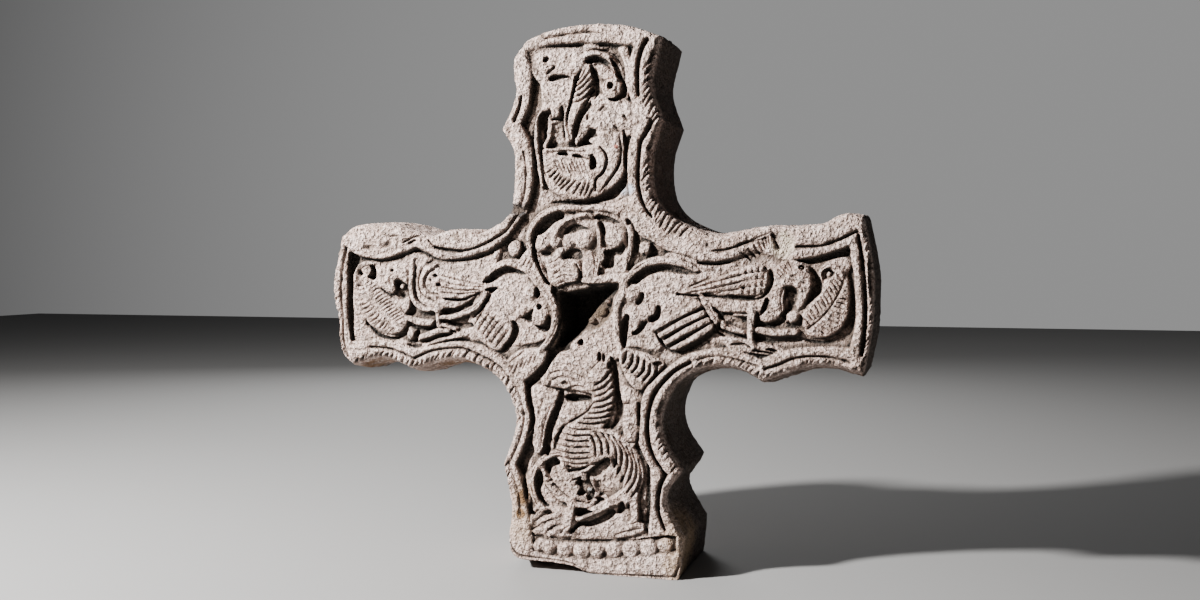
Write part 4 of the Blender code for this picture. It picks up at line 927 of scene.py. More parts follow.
def carve_lower_arm(relief):
    """A seated beast with a ribbed coat in a ring of stem, standing on the ledge."""
    # Ground round the beast
    relief.plate([(-84, 50), (-90, 80), (-94, 112), (-100, 140), (-94, 176), (-84, 150), (-60, 120),
                  (-40, 108), (20, 108), (60, 104), (86, 80), (92, 60), (40, 52)], -7.5, 5, 0.5)
    relief.plate([(-92, 284), (-70, 288), (-46, 278), (-51, 256), (-63, 230), (-69, 200),
                  (-76, 180), (-90, 186), (-90, 210), (-86, 232), (-88, 250)], -3, 4)
    relief.plate([(50, 286), (66, 290), (80, 278), (80, 250), (78, 206), (70, 196), (58, 204),
                  (54, 236), (56, 262)], -3, 4)
    relief.plate([(-40, 278), (-10, 266), (4, 262), (6, 248), (-8, 236), (-34, 228), (-52, 206),
                  (-57, 188), (-58, 210), (-50, 236), (-44, 256)], -5, 4, 0.5)
    relief.plate([(-82, 150), (-72, 166), (-54, 172), (-30, 162), (-4, 152), (8, 122), (-10, 106),
                  (-40, 106), (-68, 108), (-80, 128)], -5, 4, 0.5)
    relief.plate([(-94, 58), (-90, 84), (-72, 98), (-50, 102), (-30, 98), (-18, 78), (-22, 56),
                  (-60, 52)], -4.5, 4, 0.5)
    relief.plate([(-108, 142), (-98, 148), (-93, 128), (-92, 104), (-96, 88), (-102, 96),
                  (-106, 120)], -4.5, 4)
    # Head
    relief.plate([(-78, 296), (-70, 308), (-60, 326), (-34, 336), (0, 334), (20, 338), (32, 330),
                  (38, 310), (40, 290), (20, 276), (2, 276), (-20, 280), (-44, 282), (-64, 284)],
                 -1, 6, 2)
    relief.bar([(-70, 292), (-52, 293), (-34, 286)], [12, 14, 10], -0.6)
    # Neck and shoulders in one ribbed curve
    relief.bar([(20, 300), (24, 278), (22, 258), (12, 240), (-6, 222), (-24, 206), (-34, 188),
                (-32, 170)], [40, 38, 36, 42, 48, 46, 38, 26], -0.4)
    relief.plate([(4, 220), (-30, 228), (-46, 214), (-52, 196), (-52, 178), (-44, 164), (-20, 157),
                  (4, 154), (20, 162), (40, 176), (44, 200), (30, 216)], -1, 6, 2)
    # Haunch and hind leg
    relief.bar([(14, 216), (34, 208), (52, 194), (66, 174), (72, 152), (66, 128), (54, 112)],
               [20, 32, 38, 38, 34, 28, 20], -0.4)
    relief.bar([(56, 124), (36, 110), (10, 97), (-14, 84)], [18, 18, 16, 13], -0.8)
    relief.bar([(72, 128), (74, 104), (74, 84), (62, 74)], [20, 17, 16, 14], -2)
    relief.plate([(34, 66), (52, 78), (82, 84), (90, 70), (70, 60), (44, 56)], -3, 4)
    # Foreleg and broken middle
    relief.bar([(-24, 110), (-28, 88), (-34, 68)], [19, 17, 20], -0.8)
    relief.plate([(-50, 160), (-30, 160), (-4, 152), (10, 144), (10, 116), (-16, 102), (-46, 112),
                  (-64, 134), (-62, 152)], -5, 5, 0.5)
    # Ring of stem
    relief.bar([(-40, 184), (-58, 180), (-76, 168), (-88, 148), (-89, 126), (-82, 106), (-68, 92)],
               [11, 12, 12, 12, 12, 12, 13], -0.8)
    relief.bar([(-74, 160), (-62, 136), (-46, 118), (-24, 106), (0, 103), (12, 112)], 8, -1.8)
    relief.bar([(6, 118), (20, 122), (34, 114)], 8, -2.5)
    relief.bar([(-84, 58), (-76, 72), (-62, 84), (-46, 88)], [10, 12, 12, 8], -3)
    relief.bar([(-62, 56), (-48, 64), (-30, 68)], [10, 12, 8], -3)
    relief.bar([(-92, 70), (-86, 92), (-78, 100)], [8, 9, 6], -2.8)
    # Sinkings round the beast
    relief.pit([(36, 334), (43, 328), (47, 310), (49, 288), (55, 264), (54, 246), (46, 230),
                (34, 222), (40, 236), (43, 252), (43, 270), (41, 292), (38, 314)], -15, 2)
    relief.pit([(-38, 268), (-33, 274), (-18, 274), (0, 272), (3, 267), (-12, 264), (-28, 262)],
               -19, 1.2)
    relief.pit([(-42, 282), (-38, 268), (-46, 246), (-56, 222), (-61, 200), (-62, 180), (-70, 180),
                (-70, 202), (-65, 224), (-55, 248), (-48, 268)], -15, 1.5)
    relief.pit([(-99, 288), (-94, 286), (-92, 262), (-87, 240), (-88, 226), (-98, 206),
                (-92, 224), (-91, 242), (-96, 262)], -12, 1.2)
    relief.pit([(-97, 200), (-89, 196), (-87, 184), (-96, 166), (-100, 150), (-106, 146),
                (-113, 162), (-106, 178)], -14, 2)
    relief.pit([(-102, 150), (-98, 122), (-97, 110), (-100, 112), (-105, 140)], -11, 1.2)
    relief.pit([(34, 180), (24, 176), (10, 165), (-2, 152), (-2, 146), (12, 148), (26, 158),
                (34, 168)], -14, 1.5)
    relief.pit([(-17, 121), (-13, 129), (-20, 138), (-14, 144), (-4, 142), (0, 149), (6, 138),
                (11, 126), (8, 115), (0, 112), (-3, 121), (-10, 118)], -15, 1.5)
    relief.boss((2, 128), (9, 8), -7)
    relief.cut([(-24, 142), (-12, 146)], 4, 5)
    relief.pit([(13, 143), (20, 143), (20, 132), (13, 134)], -14, 1)
    relief.pit([(18, 129), (27, 130), (28, 124), (20, 120)], -12, 1)
    relief.pit([(-68, 165), (-60, 172), (-47, 175), (-45, 166), (-57, 160), (-61, 150),
                (-66, 154)], -14, 1.5)
    relief.pit([(-81, 150), (-75, 154), (-72, 140), (-76, 124), (-70, 108), (-62, 100), (-70, 100),
                (-80, 114), (-83, 134)], -14, 1.5)
    relief.pit([(-72, 90), (-62, 95), (-58, 90), (-66, 87)], -8, 1.5)
    relief.pit([(-96, 104), (-92, 96), (-84, 88), (-88, 84), (-95, 92)], -11, 1.5)
    relief.pit([(-18, 99), (0, 98), (9, 96), (0, 91), (-12, 86), (-18, 88)], -14, 1.5)
    relief.pit([(-16, 77), (-2, 79), (10, 83), (26, 92), (38, 100), (44, 96), (36, 85), (18, 75),
                (0, 70), (-14, 70), (-24, 60), (-30, 62), (-20, 72)], -14, 1.5)
    relief.pit([(44, 94), (53, 94), (59, 103), (57, 114), (51, 110), (47, 100)], -14, 1.5)
    relief.pit([(93, 172), (98, 166), (99, 130), (98, 100), (95, 78), (90, 78), (91, 100),
                (91, 130), (93, 160)], -14, 1.5)
    relief.cut([(80, 264), (82, 240), (80, 208)], 4, 5)
    relief.cut([(56, 262), (66, 264)], 3, 4)
    relief.cut([(64, 204), (76, 204)], 3.5, 4)
    # Face
    relief.cut([(-66, 285), (-58, 284), (-50, 281)], 3, 2)
    relief.cut([(-64, 298), (-58, 294), (-60, 288)], 3, 2.5)
    relief.cut([(-56, 296), (-44, 302), (-26, 300), (-10, 292)], 2.6, 3)
    relief.cut([(-60, 306), (-44, 311), (-24, 309), (-4, 300)], 2.6, 3)
    relief.cut([(-56, 316), (-36, 321), (-14, 318), (4, 308)], 2.6, 2.5)
    relief.pit([(-42, 292), (-36, 296), (-30, 292), (-36, 288)], -6, 1)
    relief.cut([(-28, 284), (-18, 288), (-4, 286)], 3.5, 3.5)
    relief.cut([(4, 312), (14, 322), (24, 330)], 3, 2.5)
    # Ribbed coat
    for points in (
        [(12, 290), (26, 298), (36, 312)], [(11, 281), (26, 287), (38, 300)],
        [(11, 272), (26, 277), (39, 288)], [(10, 263), (26, 267), (40, 276)],
        [(7, 254), (24, 257), (40, 264)], [(2, 246), (20, 248), (38, 253)],
        [(-6, 238), (14, 239), (34, 243)], [(-14, 231), (8, 230), (28, 234)],
    ):
        relief.cut(points, [3, 5, 3.5], 5)
    relief.cut([(8, 262), (0, 250), (-14, 240), (-28, 232)], 4, 5)
    relief.cut([(-40, 224), (-46, 212), (-50, 200)], 4, 5)
    for left, middle, right in (
        ((-34, 224), (-16, 221), (6, 222)), ((-42, 215), (-20, 211), (4, 213)),
        ((-48, 206), (-24, 202), (2, 204)), ((-50, 197), (-26, 193), (2, 195)),
        ((-50, 188), (-26, 184), (4, 186)), ((-48, 179), (-24, 175), (4, 178)),
        ((-40, 171), (-20, 167), (2, 170)), ((-32, 164), (-16, 160), (-2, 162)),
    ):
        relief.cut([left, middle, right], [3, 4.5, 3.5], 4.5)
    relief.cut([(-30, 156), (-14, 158), (2, 166), (22, 172)], 4, 6)
    for points in (
        [(6, 212), (12, 198), (14, 182)], [(14, 216), (22, 202), (24, 184)],
        [(23, 217), (33, 202), (34, 186)], [(32, 216), (44, 198), (46, 180), (40, 164)],
        [(42, 212), (54, 192), (54, 172), (45, 154)], [(52, 206), (63, 184), (62, 162), (51, 142)],
        [(62, 198), (71, 176), (69, 154), (57, 134)], [(71, 189), (78, 168), (75, 146), (63, 128)],
        [(80, 178), (84, 156), (80, 136), (70, 122)],
    ):
        relief.cut(points, [3, 5, 3], 5)
    relief.cut([(8, 219), (26, 216), (46, 210)], 3, 3)
    # Stems
    relief.cut([(-60, 254), (-70, 226), (-76, 192)], 2.4, 3)
    relief.cut([(-72, 264), (-80, 236), (-86, 200)], 2.4, 2.5)
    relief.cut([(-44, 184), (-62, 180), (-80, 166), (-90, 144), (-89, 120), (-80, 102)], 2.4, 3)
    relief.hatch([(-74, 150), (-60, 130)], [(-66, 156), (-52, 136)], 4, 2.5, 2.5)
    relief.cut([(-66, 157), (-56, 138), (-42, 123), (-22, 112), (-4, 109)], 2.6, 3)
    relief.cut([(-74, 140), (-62, 124), (-50, 111), (-30, 100)], 2.4, 2.5)
    relief.cut([(28, 112), (42, 112), (54, 120)], 2.2, 2.5)
    # Tufts on the ledge
    for points in (
        [(-90, 62), (-80, 68), (-70, 75), (-54, 80)], [(-84, 76), (-72, 85), (-54, 90)],
        [(-66, 60), (-54, 69), (-36, 74)], [(-44, 58), (-38, 66), (-28, 72)],
        [(36, 66), (48, 74), (66, 79), (84, 86)], [(44, 62), (60, 68), (84, 74)],
    ):
        relief.cut(points, [2.5, 3.2, 2.5], 2.8)
    relief.pit([(38, 68), (44, 75), (56, 79), (50, 72)], -7, 1.5)


def carve_ledge(relief):
    """The ledge above the foot, the row of pellets below it, and the plain foot."""
    ledge = smooth_curve([(-90, 56), (-63, 49), (-19, 47), (24, 49), (68, 55), (94, 60), (134, 67)])
    level = np.interp(relief.x, ledge[:, 0], ledge[:, 1])
    where = np.flatnonzero((relief.x > -94) & (relief.x < 140) & (relief.z < level))
    drop = level[where] - relief.z[where]
    band = -6.3 + 4.8 * rise(drop, 22, 30)
    band = np.where(relief.x[where] < -88, -1.5, band)
    relief.level[where] = np.minimum(relief.level[where], band)
    relief.cut([(-88, 54), (-63, 49), (-19, 47), (24, 49), (68, 55), (94, 60), (128, 66)], 4, 3)
    for across, drop, size in (
        (-80, 16, 17), (-62, 13, 23), (-37, 14, 24), (-10, 14, 25), (15, 14, 22), (42, 12, 26),
        (68, 14, 27), (96, 16, 27), (122, 14, 24),
    ):
        middle = np.interp(across, ledge[:, 0], ledge[:, 1]) - drop
        relief.boss((across, middle), (size + 1.5, size), -0.6, -6.8)


def stone_outline():
    return np.vstack([smooth_curve(run)[:-1] for run in OUTLINE.values()])


def field_edge():
    return np.vstack([smooth_curve(run)[:-1] for run in FIELD])


def front_level(x, z):
    relief = Relief(x, z)
    carve_border(relief, stone_outline(), field_edge())
    carve_cord(relief)
    carve_ledge(relief)
    carve_crossing(relief)
    carve_upper_arm(relief)
    carve_left_arm(relief)
    carve_right_arm(relief)
    carve_lower_arm(relief)
    carve_socket(relief)
    return relief.level


# The sheet as a grid of levels


def lattice_noise(x, z, size, seed):
    """Smooth noise from -1 to 1 over the sheet, with lumps of about that size."""
    random = np.random.default_rng(seed)
    table = random.uniform(-1, 1, (LATTICE, LATTICE))
    across, up = x / size + 57.3, z / size + 31.7
    left, low = np.floor(across).astype(int), np.floor(up).astype(int)
    right_share, up_share = across - left, up - low
    right_share = right_share**2 * (3 - 2 * right_share)
    up_share = up_share**2 * (3 - 2 * up_share)
    left, right = left % LATTICE, (left + 1) % LATTICE
    low, high = low % LATTICE, (low + 1) % LATTICE
    lower = table[left, low] + (table[right, low] - table[left, low]) * right_share
    upper = table[left, high] + (table[right, high] - table[left, high]) * right_share
    return lower + (upper - lower) * up_share


def blurred(sheet, reach):
    """The sheet blurred by a bell curve of that reach in millimetres."""
    rows = np.fft.fftfreq(sheet.shape[0])[:, None]
    columns = np.fft.rfftfreq(sheet.shape[1])[None, :]
    bell = np.exp(-2 * (math.pi * reach) ** 2 * (rows**2 + columns**2))
    return np.fft.irfft2(np.fft.rfft2(sheet) * bell, s=sheet.shape)


def rough_surface(x, z):
    """Weathering in millimetres: soft hollows, a sugary grain and pits."""
    soft = 0.75 * lattice_noise(x, z, 29, 3) + 0.65 * lattice_noise(x, z, 12, 4)
    grain = 0.6 * lattice_noise(x, z, 6.5, 5) + 0.6 * lattice_noise(x, z, 3.6, 6)
    pits = -2.6 * np.clip(lattice_noise(x, z, 4.8, 7) - 0.42, 0, 1)
    pits -= 3.4 * np.clip(lattice_noise(x, z, 9.5, 8) - 0.52, 0, 1)
    patches = np.clip(0.8 + 0.8 * lattice_noise(x, z, 47, 9), 0.35, 1.35)
    return soft + (grain + pits) * patches - 0.7


def dirt_and_shade_places(sheet):
    """How much painted shade, with some dirt, each place gets: sunk below what is round it, or
    turned right and down, away from the light.
    """
    sunk = (blurred(sheet, SHADE_REACH) - sheet) / SHADE_REACH
    up_slope, side_slope = np.gradient(blurred(sheet, 0.8))
    # Painted shade on slopes that face right and down, away from the lamp
    turned_from_light = np.clip(0.6 * (up_slope - side_slope) - 0.25, 0, 1)
    return (sunk.clip(0, 1) + 0.6 * turned_from_light).clip(0, 1)


def front_sheet():
    """Levels over the front, carved, worn and weathered, and how much painted shade and dirt each
    place gets.
    """
    across = np.arange(SHEET_LEFT, SHEET_RIGHT + 1.0)
    up = np.arange(SHEET_LOW, SHEET_HIGH + 1.0)
    grid_x, grid_z = np.meshgrid(across, up)
    x, z = grid_x.ravel(), grid_z.ravel()
    edge = full_outline()
    from_edge, _ = distance_to(edge, x, z, closed=True)
    on_stone = inside(edge, x, z)
    used = np.flatnonzero(on_stone | (from_edge < EDGE_MARGIN))
    level = np.full(x.shape, EDGE_LEVEL)
    level[used] = front_level(x[used], z[used])

    weather = rough_surface(x, z)
    arris = np.clip(1 - from_edge / 9, 0, 1)
    chipped = lattice_noise(x, z, 11, 12) + 0.6 * lattice_noise(x, z, 5.5, 13) + 0.05
    weather -= 4.2 * arris * np.clip(chipped, 0, 1)
    worn = np.clip(0.35 + 0.9 * lattice_noise(x, z, 26, 14), 0, 0.8).reshape(grid_x.shape)
    sheet = level.reshape(grid_x.shape)
    sheet = (1 - worn) * sheet + worn * np.minimum(sheet + 0.6, blurred(sheet, 1.4) + 0.2)
    sheet = sheet + weather.reshape(grid_x.shape)
    well_inside = (on_stone * np.clip((from_edge - 1) / 4, 0, 1)).reshape(grid_x.shape)
    return np.minimum(sheet, -0.05), dirt_and_shade_places(sheet) * well_inside


def read_sheet(sheet, x, z):
    """The sheet's value at any places, between its grid points."""
    across = np.clip(x - SHEET_LEFT, 0, sheet.shape[1] - 1.001)
    up = np.clip(z - SHEET_LOW, 0, sheet.shape[0] - 1.001)
    left, low = across.astype(int), up.astype(int)
    right_share, up_share = across - left, up - low
    lower = sheet[low, left] * (1 - right_share) + sheet[low, left + 1] * right_share
    upper = sheet[low + 1, left] * (1 - right_share) + sheet[low + 1, left + 1] * right_share
    return lower * (1 - up_share) + upper * up_share


# The stone


def full_outline():
    """The outline before the foot broke, carried a little below the ground for a clean cut."""
    runs = dict(OUTLINE)
    runs["foot_break"] = [(100, -8), (-60, -8), (-122, -8), (-128, 24), (-129, 54)]
    runs["foot_right"] = [(149, 62), (146, 28), (138, -8), (100, -8)]
    return np.vstack([smooth_curve(run)[:-1] for run in runs.values()])


def work_on(piece):
    bpy.ops.object.select_all(action="DESELECT")
    piece.select_set(True)
    bpy.context.view_layer.objects.active = piece


def finish_modifier(piece, kind, **values):
    """Adds a modifier and applies it."""
    modifier = piece.modifiers.new(kind.lower(), kind)
    for name, value in values.items():
        setattr(modifier, name, value)
    work_on(piece)
    bpy.ops.object.modifier_apply(modifier=modifier.name)


def block(name, places, front, back):
    """A block with an outline drawn on the sheet, from y = front to y = back."""
    drawing = bpy.data.curves.new(name, "CURVE")
    drawing.dimensions = "2D"
    drawing.fill_mode = "BOTH"
    drawing.extrude = (back - front) / 2
    spline = drawing.splines.new("POLY")
    spline.points.add(len(places) - 1)
    for point, (across, up) in zip(spline.points, places):
        point.co = (across / PER_METRE, up / PER_METRE, 0, 1)
    spline.use_cyclic_u = True
    piece = bpy.data.objects.new(name, drawing)
    bpy.context.scene.collection.objects.link(piece)
    piece.rotation_euler = (math.pi / 2, 0, 0)
    piece.location = (0, (front + back) / 2, 0)
    work_on(piece)
    bpy.ops.object.convert(target="MESH")
    bpy.ops.object.transform_apply(location=True, rotation=True, scale=True)
    bpy.ops.object.mode_set(mode="EDIT")
    bpy.ops.mesh.select_all(action="SELECT")
    bpy.ops.mesh.remove_doubles(threshold=1e-6)
    bpy.ops.mesh.normals_make_consistent(inside=False)
    bpy.ops.object.mode_set(mode="OBJECT")
    return piece


def corners_of(piece):
    corners = np.empty(len(piece.data.vertices) * 3, np.float32)
    piece.data.vertices.foreach_get("co", corners)
    return corners.reshape(-1, 3).astype(float)


def place_corners(piece, corners):
    piece.data.vertices.foreach_set("co", corners.astype(np.float32).ravel())
    piece.data.update()


def break_away(piece, broken):
    finish_modifier(piece, "BOOLEAN", operation="DIFFERENCE", object=broken)
    bpy.data.objects.remove(broken)


def crossing_hollow():
    """The hole broken into the crossing, narrowing unevenly as it goes in."""
    opening = smooth_curve(SOCKET, closed=True, steps=3)
    hollow = block("crossing_hollow", opening, FRONT - 0.02, FRONT + SOCKET_DEPTH)
    corners = corners_of(hollow)
    deep = corners[:, 1] > FRONT + SOCKET_DEPTH / 2
    middle_x, middle_z = -0.002, 0.398
    corners[deep, 0] = middle_x + SOCKET_TAPER * (corners[deep, 0] - middle_x) - 0.004
    corners[deep, 2] = middle_z + SOCKET_TAPER * (corners[deep, 2] - middle_z) + 0.003
    place_corners(hollow, corners)
    return hollow


def foot_corner():
    """The corner broken from under the left of the foot: high at the front, gone at its reach."""
    broken = smooth_curve(OUTLINE["foot_break"])
    around = np.array([(-160.0, 54.0), (-160.0, -30.0), (2.0, -30.0)])
    back = FRONT + FOOT_BREAK_REACH
    corner = block("foot_corner", np.vstack([broken, around]), FRONT - 0.02, back)
    corners = corners_of(corner)
    deep = corners[:, 1] > back - 0.01
    corners[deep, 2] = np.minimum(corners[deep, 2], 0) - 0.004
    place_corners(corner, corners)
    return corner


def outward(line, x, z):
    """The direction out of the outline at the point of it nearest to each place."""
    ends = np.roll(line, -1, axis=0)
    middles = (line + ends) / 2
    along = ends - line
    normals = np.stack([-along[:, 1], along[:, 0]], axis=1)
    normals /= np.hypot(*normals.T)[:, None]
    if inside(line, *(middles + normals).T[:, :1]).any():
        normals = -normals
    nearest = np.zeros(len(x), int)
    for start in range(0, len(x), AT_ONCE):
        part = slice(start, start + AT_ONCE)
        far = (middles[:, 0] - x[part, None]) ** 2 + (middles[:, 1] - z[part, None]) ** 2
        nearest[part] = np.argmin(far, axis=1)
    return normals[nearest]


def back_level(x, z, from_edge, within_field):
    """The plainer back: the same rolls, worn, round a sunk field with a low boss."""
    roll = -5.0 + 5.0 * bulge(from_edge / 9)
    groove = -2.2 * np.exp(-((from_edge - 17) / 3.0) ** 2)
    field = -8.0 * rise(within_field, -2, 6)
    level = np.minimum(roll + groove, field)
    far = np.hypot(x, z - 430)
    level = np.maximum(level, -8.0 + 7.0 * bulge((58 - far) / 34) * (far < 58))
    return level + 0.8 * rough_surface(x + 900, z)


def swell_sides(corners, edge, x, z, depth):
    """Swells the sides between the two faces, most under the arms, and roughens them."""
    normals = outward(edge, x, z)
    swell = SIDE_SWELL + (UNDERSIDE_SWELL - SIDE_SWELL) * np.clip(-normals[:, 1], 0, 1) ** 2
    swell = swell * np.sin(math.pi * depth) * rise(z, 20, 80)
    round_it = np.where(np.abs(normals[:, 0]) > 0.7, z, x) + 40 * normals[:, 0]
    rough = rough_surface(round_it * 1.3, 230 * depth + 400) - 0.4
    rough += 1.1 * lattice_noise(round_it, 205 * depth, 42, 21)
    swell += rough / PER_METRE * np.sin(math.pi * np.clip(depth, 0.03, 0.97)) ** 0.5
    corners[:, 0] += normals[:, 0] * swell
    corners[:, 2] += normals[:, 1] * swell
    return corners


def shape_stone(stone, sheet):
    """Stretches the block back to its thickness, and carves its sides, front and back."""
    corners = corners_of(stone)
    x, z = corners[:, 0] * PER_METRE, corners[:, 2] * PER_METRE
    depth = np.clip((corners[:, 1] - FRONT) / FOOT_THICKNESS / SQUEEZE, 0, 1)
    edge = full_outline()
    from_edge, _ = distance_to(edge, x, z, closed=True)
    on_side = from_edge < SIDE_BAND
    corners[on_side] = swell_sides(
        corners[on_side], edge, x[on_side], z[on_side], depth[on_side]
    )
    thickness = FOOT_THICKNESS + (CROWN_THICKNESS - FOOT_THICKNESS) * np.clip(
        corners[:, 2] / HEAD_HEIGHT, 0, 1
    )
    corners[:, 1] = FRONT + depth * thickness

    near_front = np.flatnonzero(depth < RELIEF_REACH)
    level = read_sheet(sheet, x[near_front], z[near_front]) / PER_METRE
    corners[near_front, 1] -= level * (1 - depth[near_front] / RELIEF_REACH)

    near_back = np.flatnonzero(depth > 1 - RELIEF_REACH)
    back_x, back_z = x[near_back], z[near_back]
    from_field, _ = distance_to(field_edge(), back_x, back_z, closed=True)
    within_field = np.where(inside(field_edge(), back_x, back_z), from_field, -from_field)
    level = back_level(back_x, back_z, from_edge[near_back], within_field) / PER_METRE
    corners[near_back, 1] += np.minimum(level, 0) * (1 - (1 - depth[near_back]) / RELIEF_REACH)
    place_corners(stone, corners)


def hold_in_box(stone):
    """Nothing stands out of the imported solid's box."""
    hair = 2e-5
    lowest, highest = np.array(cad_low) + hair, np.array(cad_high) - hair
    place_corners(stone, np.clip(corners_of(stone), lowest, highest))


def stand_flat(stone):
    """Cuts the stone off level at the ground and closes the underside."""
    work_on(stone)
    bpy.ops.object.mode_set(mode="EDIT")
    bpy.ops.mesh.select_all(action="SELECT")
    bpy.ops.mesh.bisect(
        plane_co=(0, 0, 0), plane_no=(0, 0, -1), clear_outer=True, use_fill=True
    )
    bpy.ops.mesh.quads_convert_to_tris()
    bpy.ops.mesh.select_all(action="SELECT")
    bpy.ops.mesh.normals_make_consistent(inside=False)
    bpy.ops.object.mode_set(mode="OBJECT")


def mark_surface(stone, dirt_and_shade_sheet):
    """Keeps on each corner its share of painted shade and dirt, for the colour."""
    corners = corners_of(stone)
    x, z = corners[:, 0] * PER_METRE, corners[:, 2] * PER_METRE
    front_share = np.clip(1 - (corners[:, 1] - FRONT) / 0.03, 0, 1)
    dirt_and_shade = read_sheet(dirt_and_shade_sheet, x, z) * np.clip(3 * front_share, 0, 1)
    # The whole hollow at the crossing, behind the front, is painted full dark as shade
    in_hollow = inside(smooth_curve(SOCKET, closed=True), x, z) * (1 - front_share)
    dirt_and_shade = np.maximum(dirt_and_shade, in_hollow * (corners[:, 1] < 0))
    # The slope in the hollow catches the light, so it gets less painted shade and dirt
    dirt_and_shade *= 1 - 0.75 * np.exp(-((x - 12) ** 2 + (z - 395) ** 2) / 420)
    marks = stone.data.attributes.new("dirt_and_shade", "FLOAT", "POINT")
    marks.data.foreach_set("value", dirt_and_shade.astype(np.float32))


def carve_stone():
    sheet, dirt_and_shade_sheet = front_sheet()
    stone = block("cross_head_stone", full_outline(), FRONT, -FRONT)
    break_away(stone, crossing_hollow())
    break_away(stone, foot_corner())
    corners = corners_of(stone)
    corners[:, 1] = FRONT + (corners[:, 1] - FRONT) * SQUEEZE
    place_corners(stone, corners)
    finish_modifier(stone, "REMESH", mode="VOXEL", voxel_size=GRAIN)
    shape_stone(stone, sheet)
    triangles = sum(len(face.vertices) - 2 for face in stone.data.polygons)
    finish_modifier(stone, "DECIMATE", ratio=TRIANGLES / triangles)
    stand_flat(stone)
    hold_in_box(stone)
    mark_surface(stone, dirt_and_shade_sheet)
    work_on(stone)
    bpy.ops.object.shade_smooth_by_angle(angle=math.radians(50))
    return stone


# The limestone


def add_node(tree, kind, place, **values):
    node = tree.nodes.new(kind)
    node.location = place
    for name, value in values.items():
        setattr(node, name, value)
    return node


def noise(tree, place, coordinates, scale, detail, roughness):
    node = add_node(tree, "ShaderNodeTexNoise", place)
    node.inputs["Scale"].default_value = scale
    node.inputs["Detail"].default_value = detail
    node.inputs["Roughness"].default_value = roughness
    tree.links.new(coordinates, node.inputs["Vector"])
    return node.outputs["Fac"]


def ramp(tree, place, value, low, high):
    """A mask: 0 below low, 1 above high, smooth between."""
    node = add_node(tree, "ShaderNodeMapRange", place, interpolation_type="SMOOTHSTEP")
    node.inputs["From Min"].default_value = low
    node.inputs["From Max"].default_value = high
    tree.links.new(value, node.inputs["Value"])
    return node.outputs["Result"]


def maths(tree, place, operation, first, second):
    node = add_node(tree, "ShaderNodeMath", place, operation=operation)
    for socket, value in zip(node.inputs, (first, second)):
        if isinstance(value, (int, float)):
            socket.default_value = value
        else:
            tree.links.new(value, socket)
    return node.outputs["Value"]


def blend(tree, place, mask, under, over):
    """Lays one colour over another by a mask."""
    node = add_node(tree, "ShaderNodeMix", place, data_type="RGBA", blend_type="MIX")
    for name, value in (("Factor_Float", mask), ("A_Color", under), ("B_Color", over)):
        socket = next(s for s in node.inputs if s.identifier == name)
        if isinstance(value, tuple):
            socket.default_value = (*value, 1.0)
        else:
            tree.links.new(value, socket)
    return next(s for s in node.outputs if s.identifier == "Result_Color")


def tinted(tree, place, mask, strength, colour, tint):
    """Lays a tint over a colour by a mask, at a strength."""
    share = maths(tree, place, "MULTIPLY", mask, strength)
    return blend(tree, (place[0] + 200, place[1]), share, colour, tint)


def spot(tree, place, coordinates, middle, across):
    """A mask that is 1 round a place of the stone and fades out at its edge, all in metres."""
    mapping = add_node(tree, "ShaderNodeMapping", place, vector_type="TEXTURE")
    mapping.inputs["Location"].default_value = middle
    mapping.inputs["Scale"].default_value = across
    tree.links.new(coordinates, mapping.inputs["Vector"])
    length = add_node(tree, "ShaderNodeVectorMath", (place[0] + 180, place[1]), operation="LENGTH")
    tree.links.new(mapping.outputs["Vector"], length.inputs[0])
    return ramp(tree, (place[0] + 360, place[1]), length.outputs["Value"], 1.0, 0.5)


# The bare stone over its clouds: pattern, where the layer starts, where it is full, strength
# and colour
LAYERS = [
    ("mottle", 0.50, 0.70, 1.0, (0.70, 0.545, 0.486)),
    ("mottle", 0.49, 0.32, 1.0, (0.27, 0.190, 0.150)),
    ("grit", 0.53, 0.66, 0.8, (0.92, 0.770, 0.700)),
    ("grit", 0.49, 0.34, 0.85, (0.16, 0.125, 0.105)),
    ("speck", 0.46, 0.33, 0.8, (0.12, 0.095, 0.080)),
]

# Stains, repairs and patches of painted shade: middle and reach in metres, colour and strength
STAINS_AND_SHADES = [
    # Ochre run and two rust spots low on the left
    ((-0.105, -0.09, 0.09), (0.035, 0.05, 0.075), (0.44, 0.31, 0.21), 0.55),
    ((-0.104, -0.10, 0.112), (0.014, 0.04, 0.017), (0.15, 0.080, 0.032), 0.97),
    ((-0.108, -0.10, 0.087), (0.011, 0.04, 0.011), (0.19, 0.105, 0.045), 0.95),
    # Ochre low on the right
    ((0.15, -0.09, 0.05), (0.045, 0.12, 0.09), (0.40, 0.27, 0.16), 0.55),
    # Painted shade in brown under the left arm
    ((-0.20, -0.05, 0.315), (0.09, 0.05, 0.022), (0.16, 0.080, 0.030), 0.7),
    ((-0.36, -0.05, 0.315), (0.07, 0.05, 0.022), (0.16, 0.080, 0.030), 0.7),
    # Painted shade in dark brown on the slope in the hollow at the crossing
    ((0.010, -0.086, 0.396), (0.046, 0.017, 0.040), (0.075, 0.050, 0.030), 0.97),
    # Pale break on the right arm, and the dark scar beside it
    ((0.297, -0.10, 0.502), (0.022, 0.05, 0.026), (0.70, 0.60, 0.46), 0.9),
    ((0.252, -0.10, 0.487), (0.028, 0.05, 0.014), (0.070, 0.056, 0.046), 0.85),
    # Mortar of the old mend on the left, and its pale blue trace on the right
    ((-0.112, -0.09, 0.557), (0.030, 0.05, 0.016), (0.030, 0.030, 0.032), 0.98),
    ((0.060, -0.10, 0.587), (0.018, 0.03, 0.013), (0.44, 0.48, 0.56), 0.9),
    # Grey fill in the drill hole, and a red speck on the upper arm
    ((0.002, -0.10, 0.127), (0.008, 0.03, 0.007), (0.46, 0.46, 0.46), 0.9),
    ((0.045, -0.10, 0.652), (0.004, 0.02, 0.004), (0.36, 0.09, 0.06), 0.8),
]


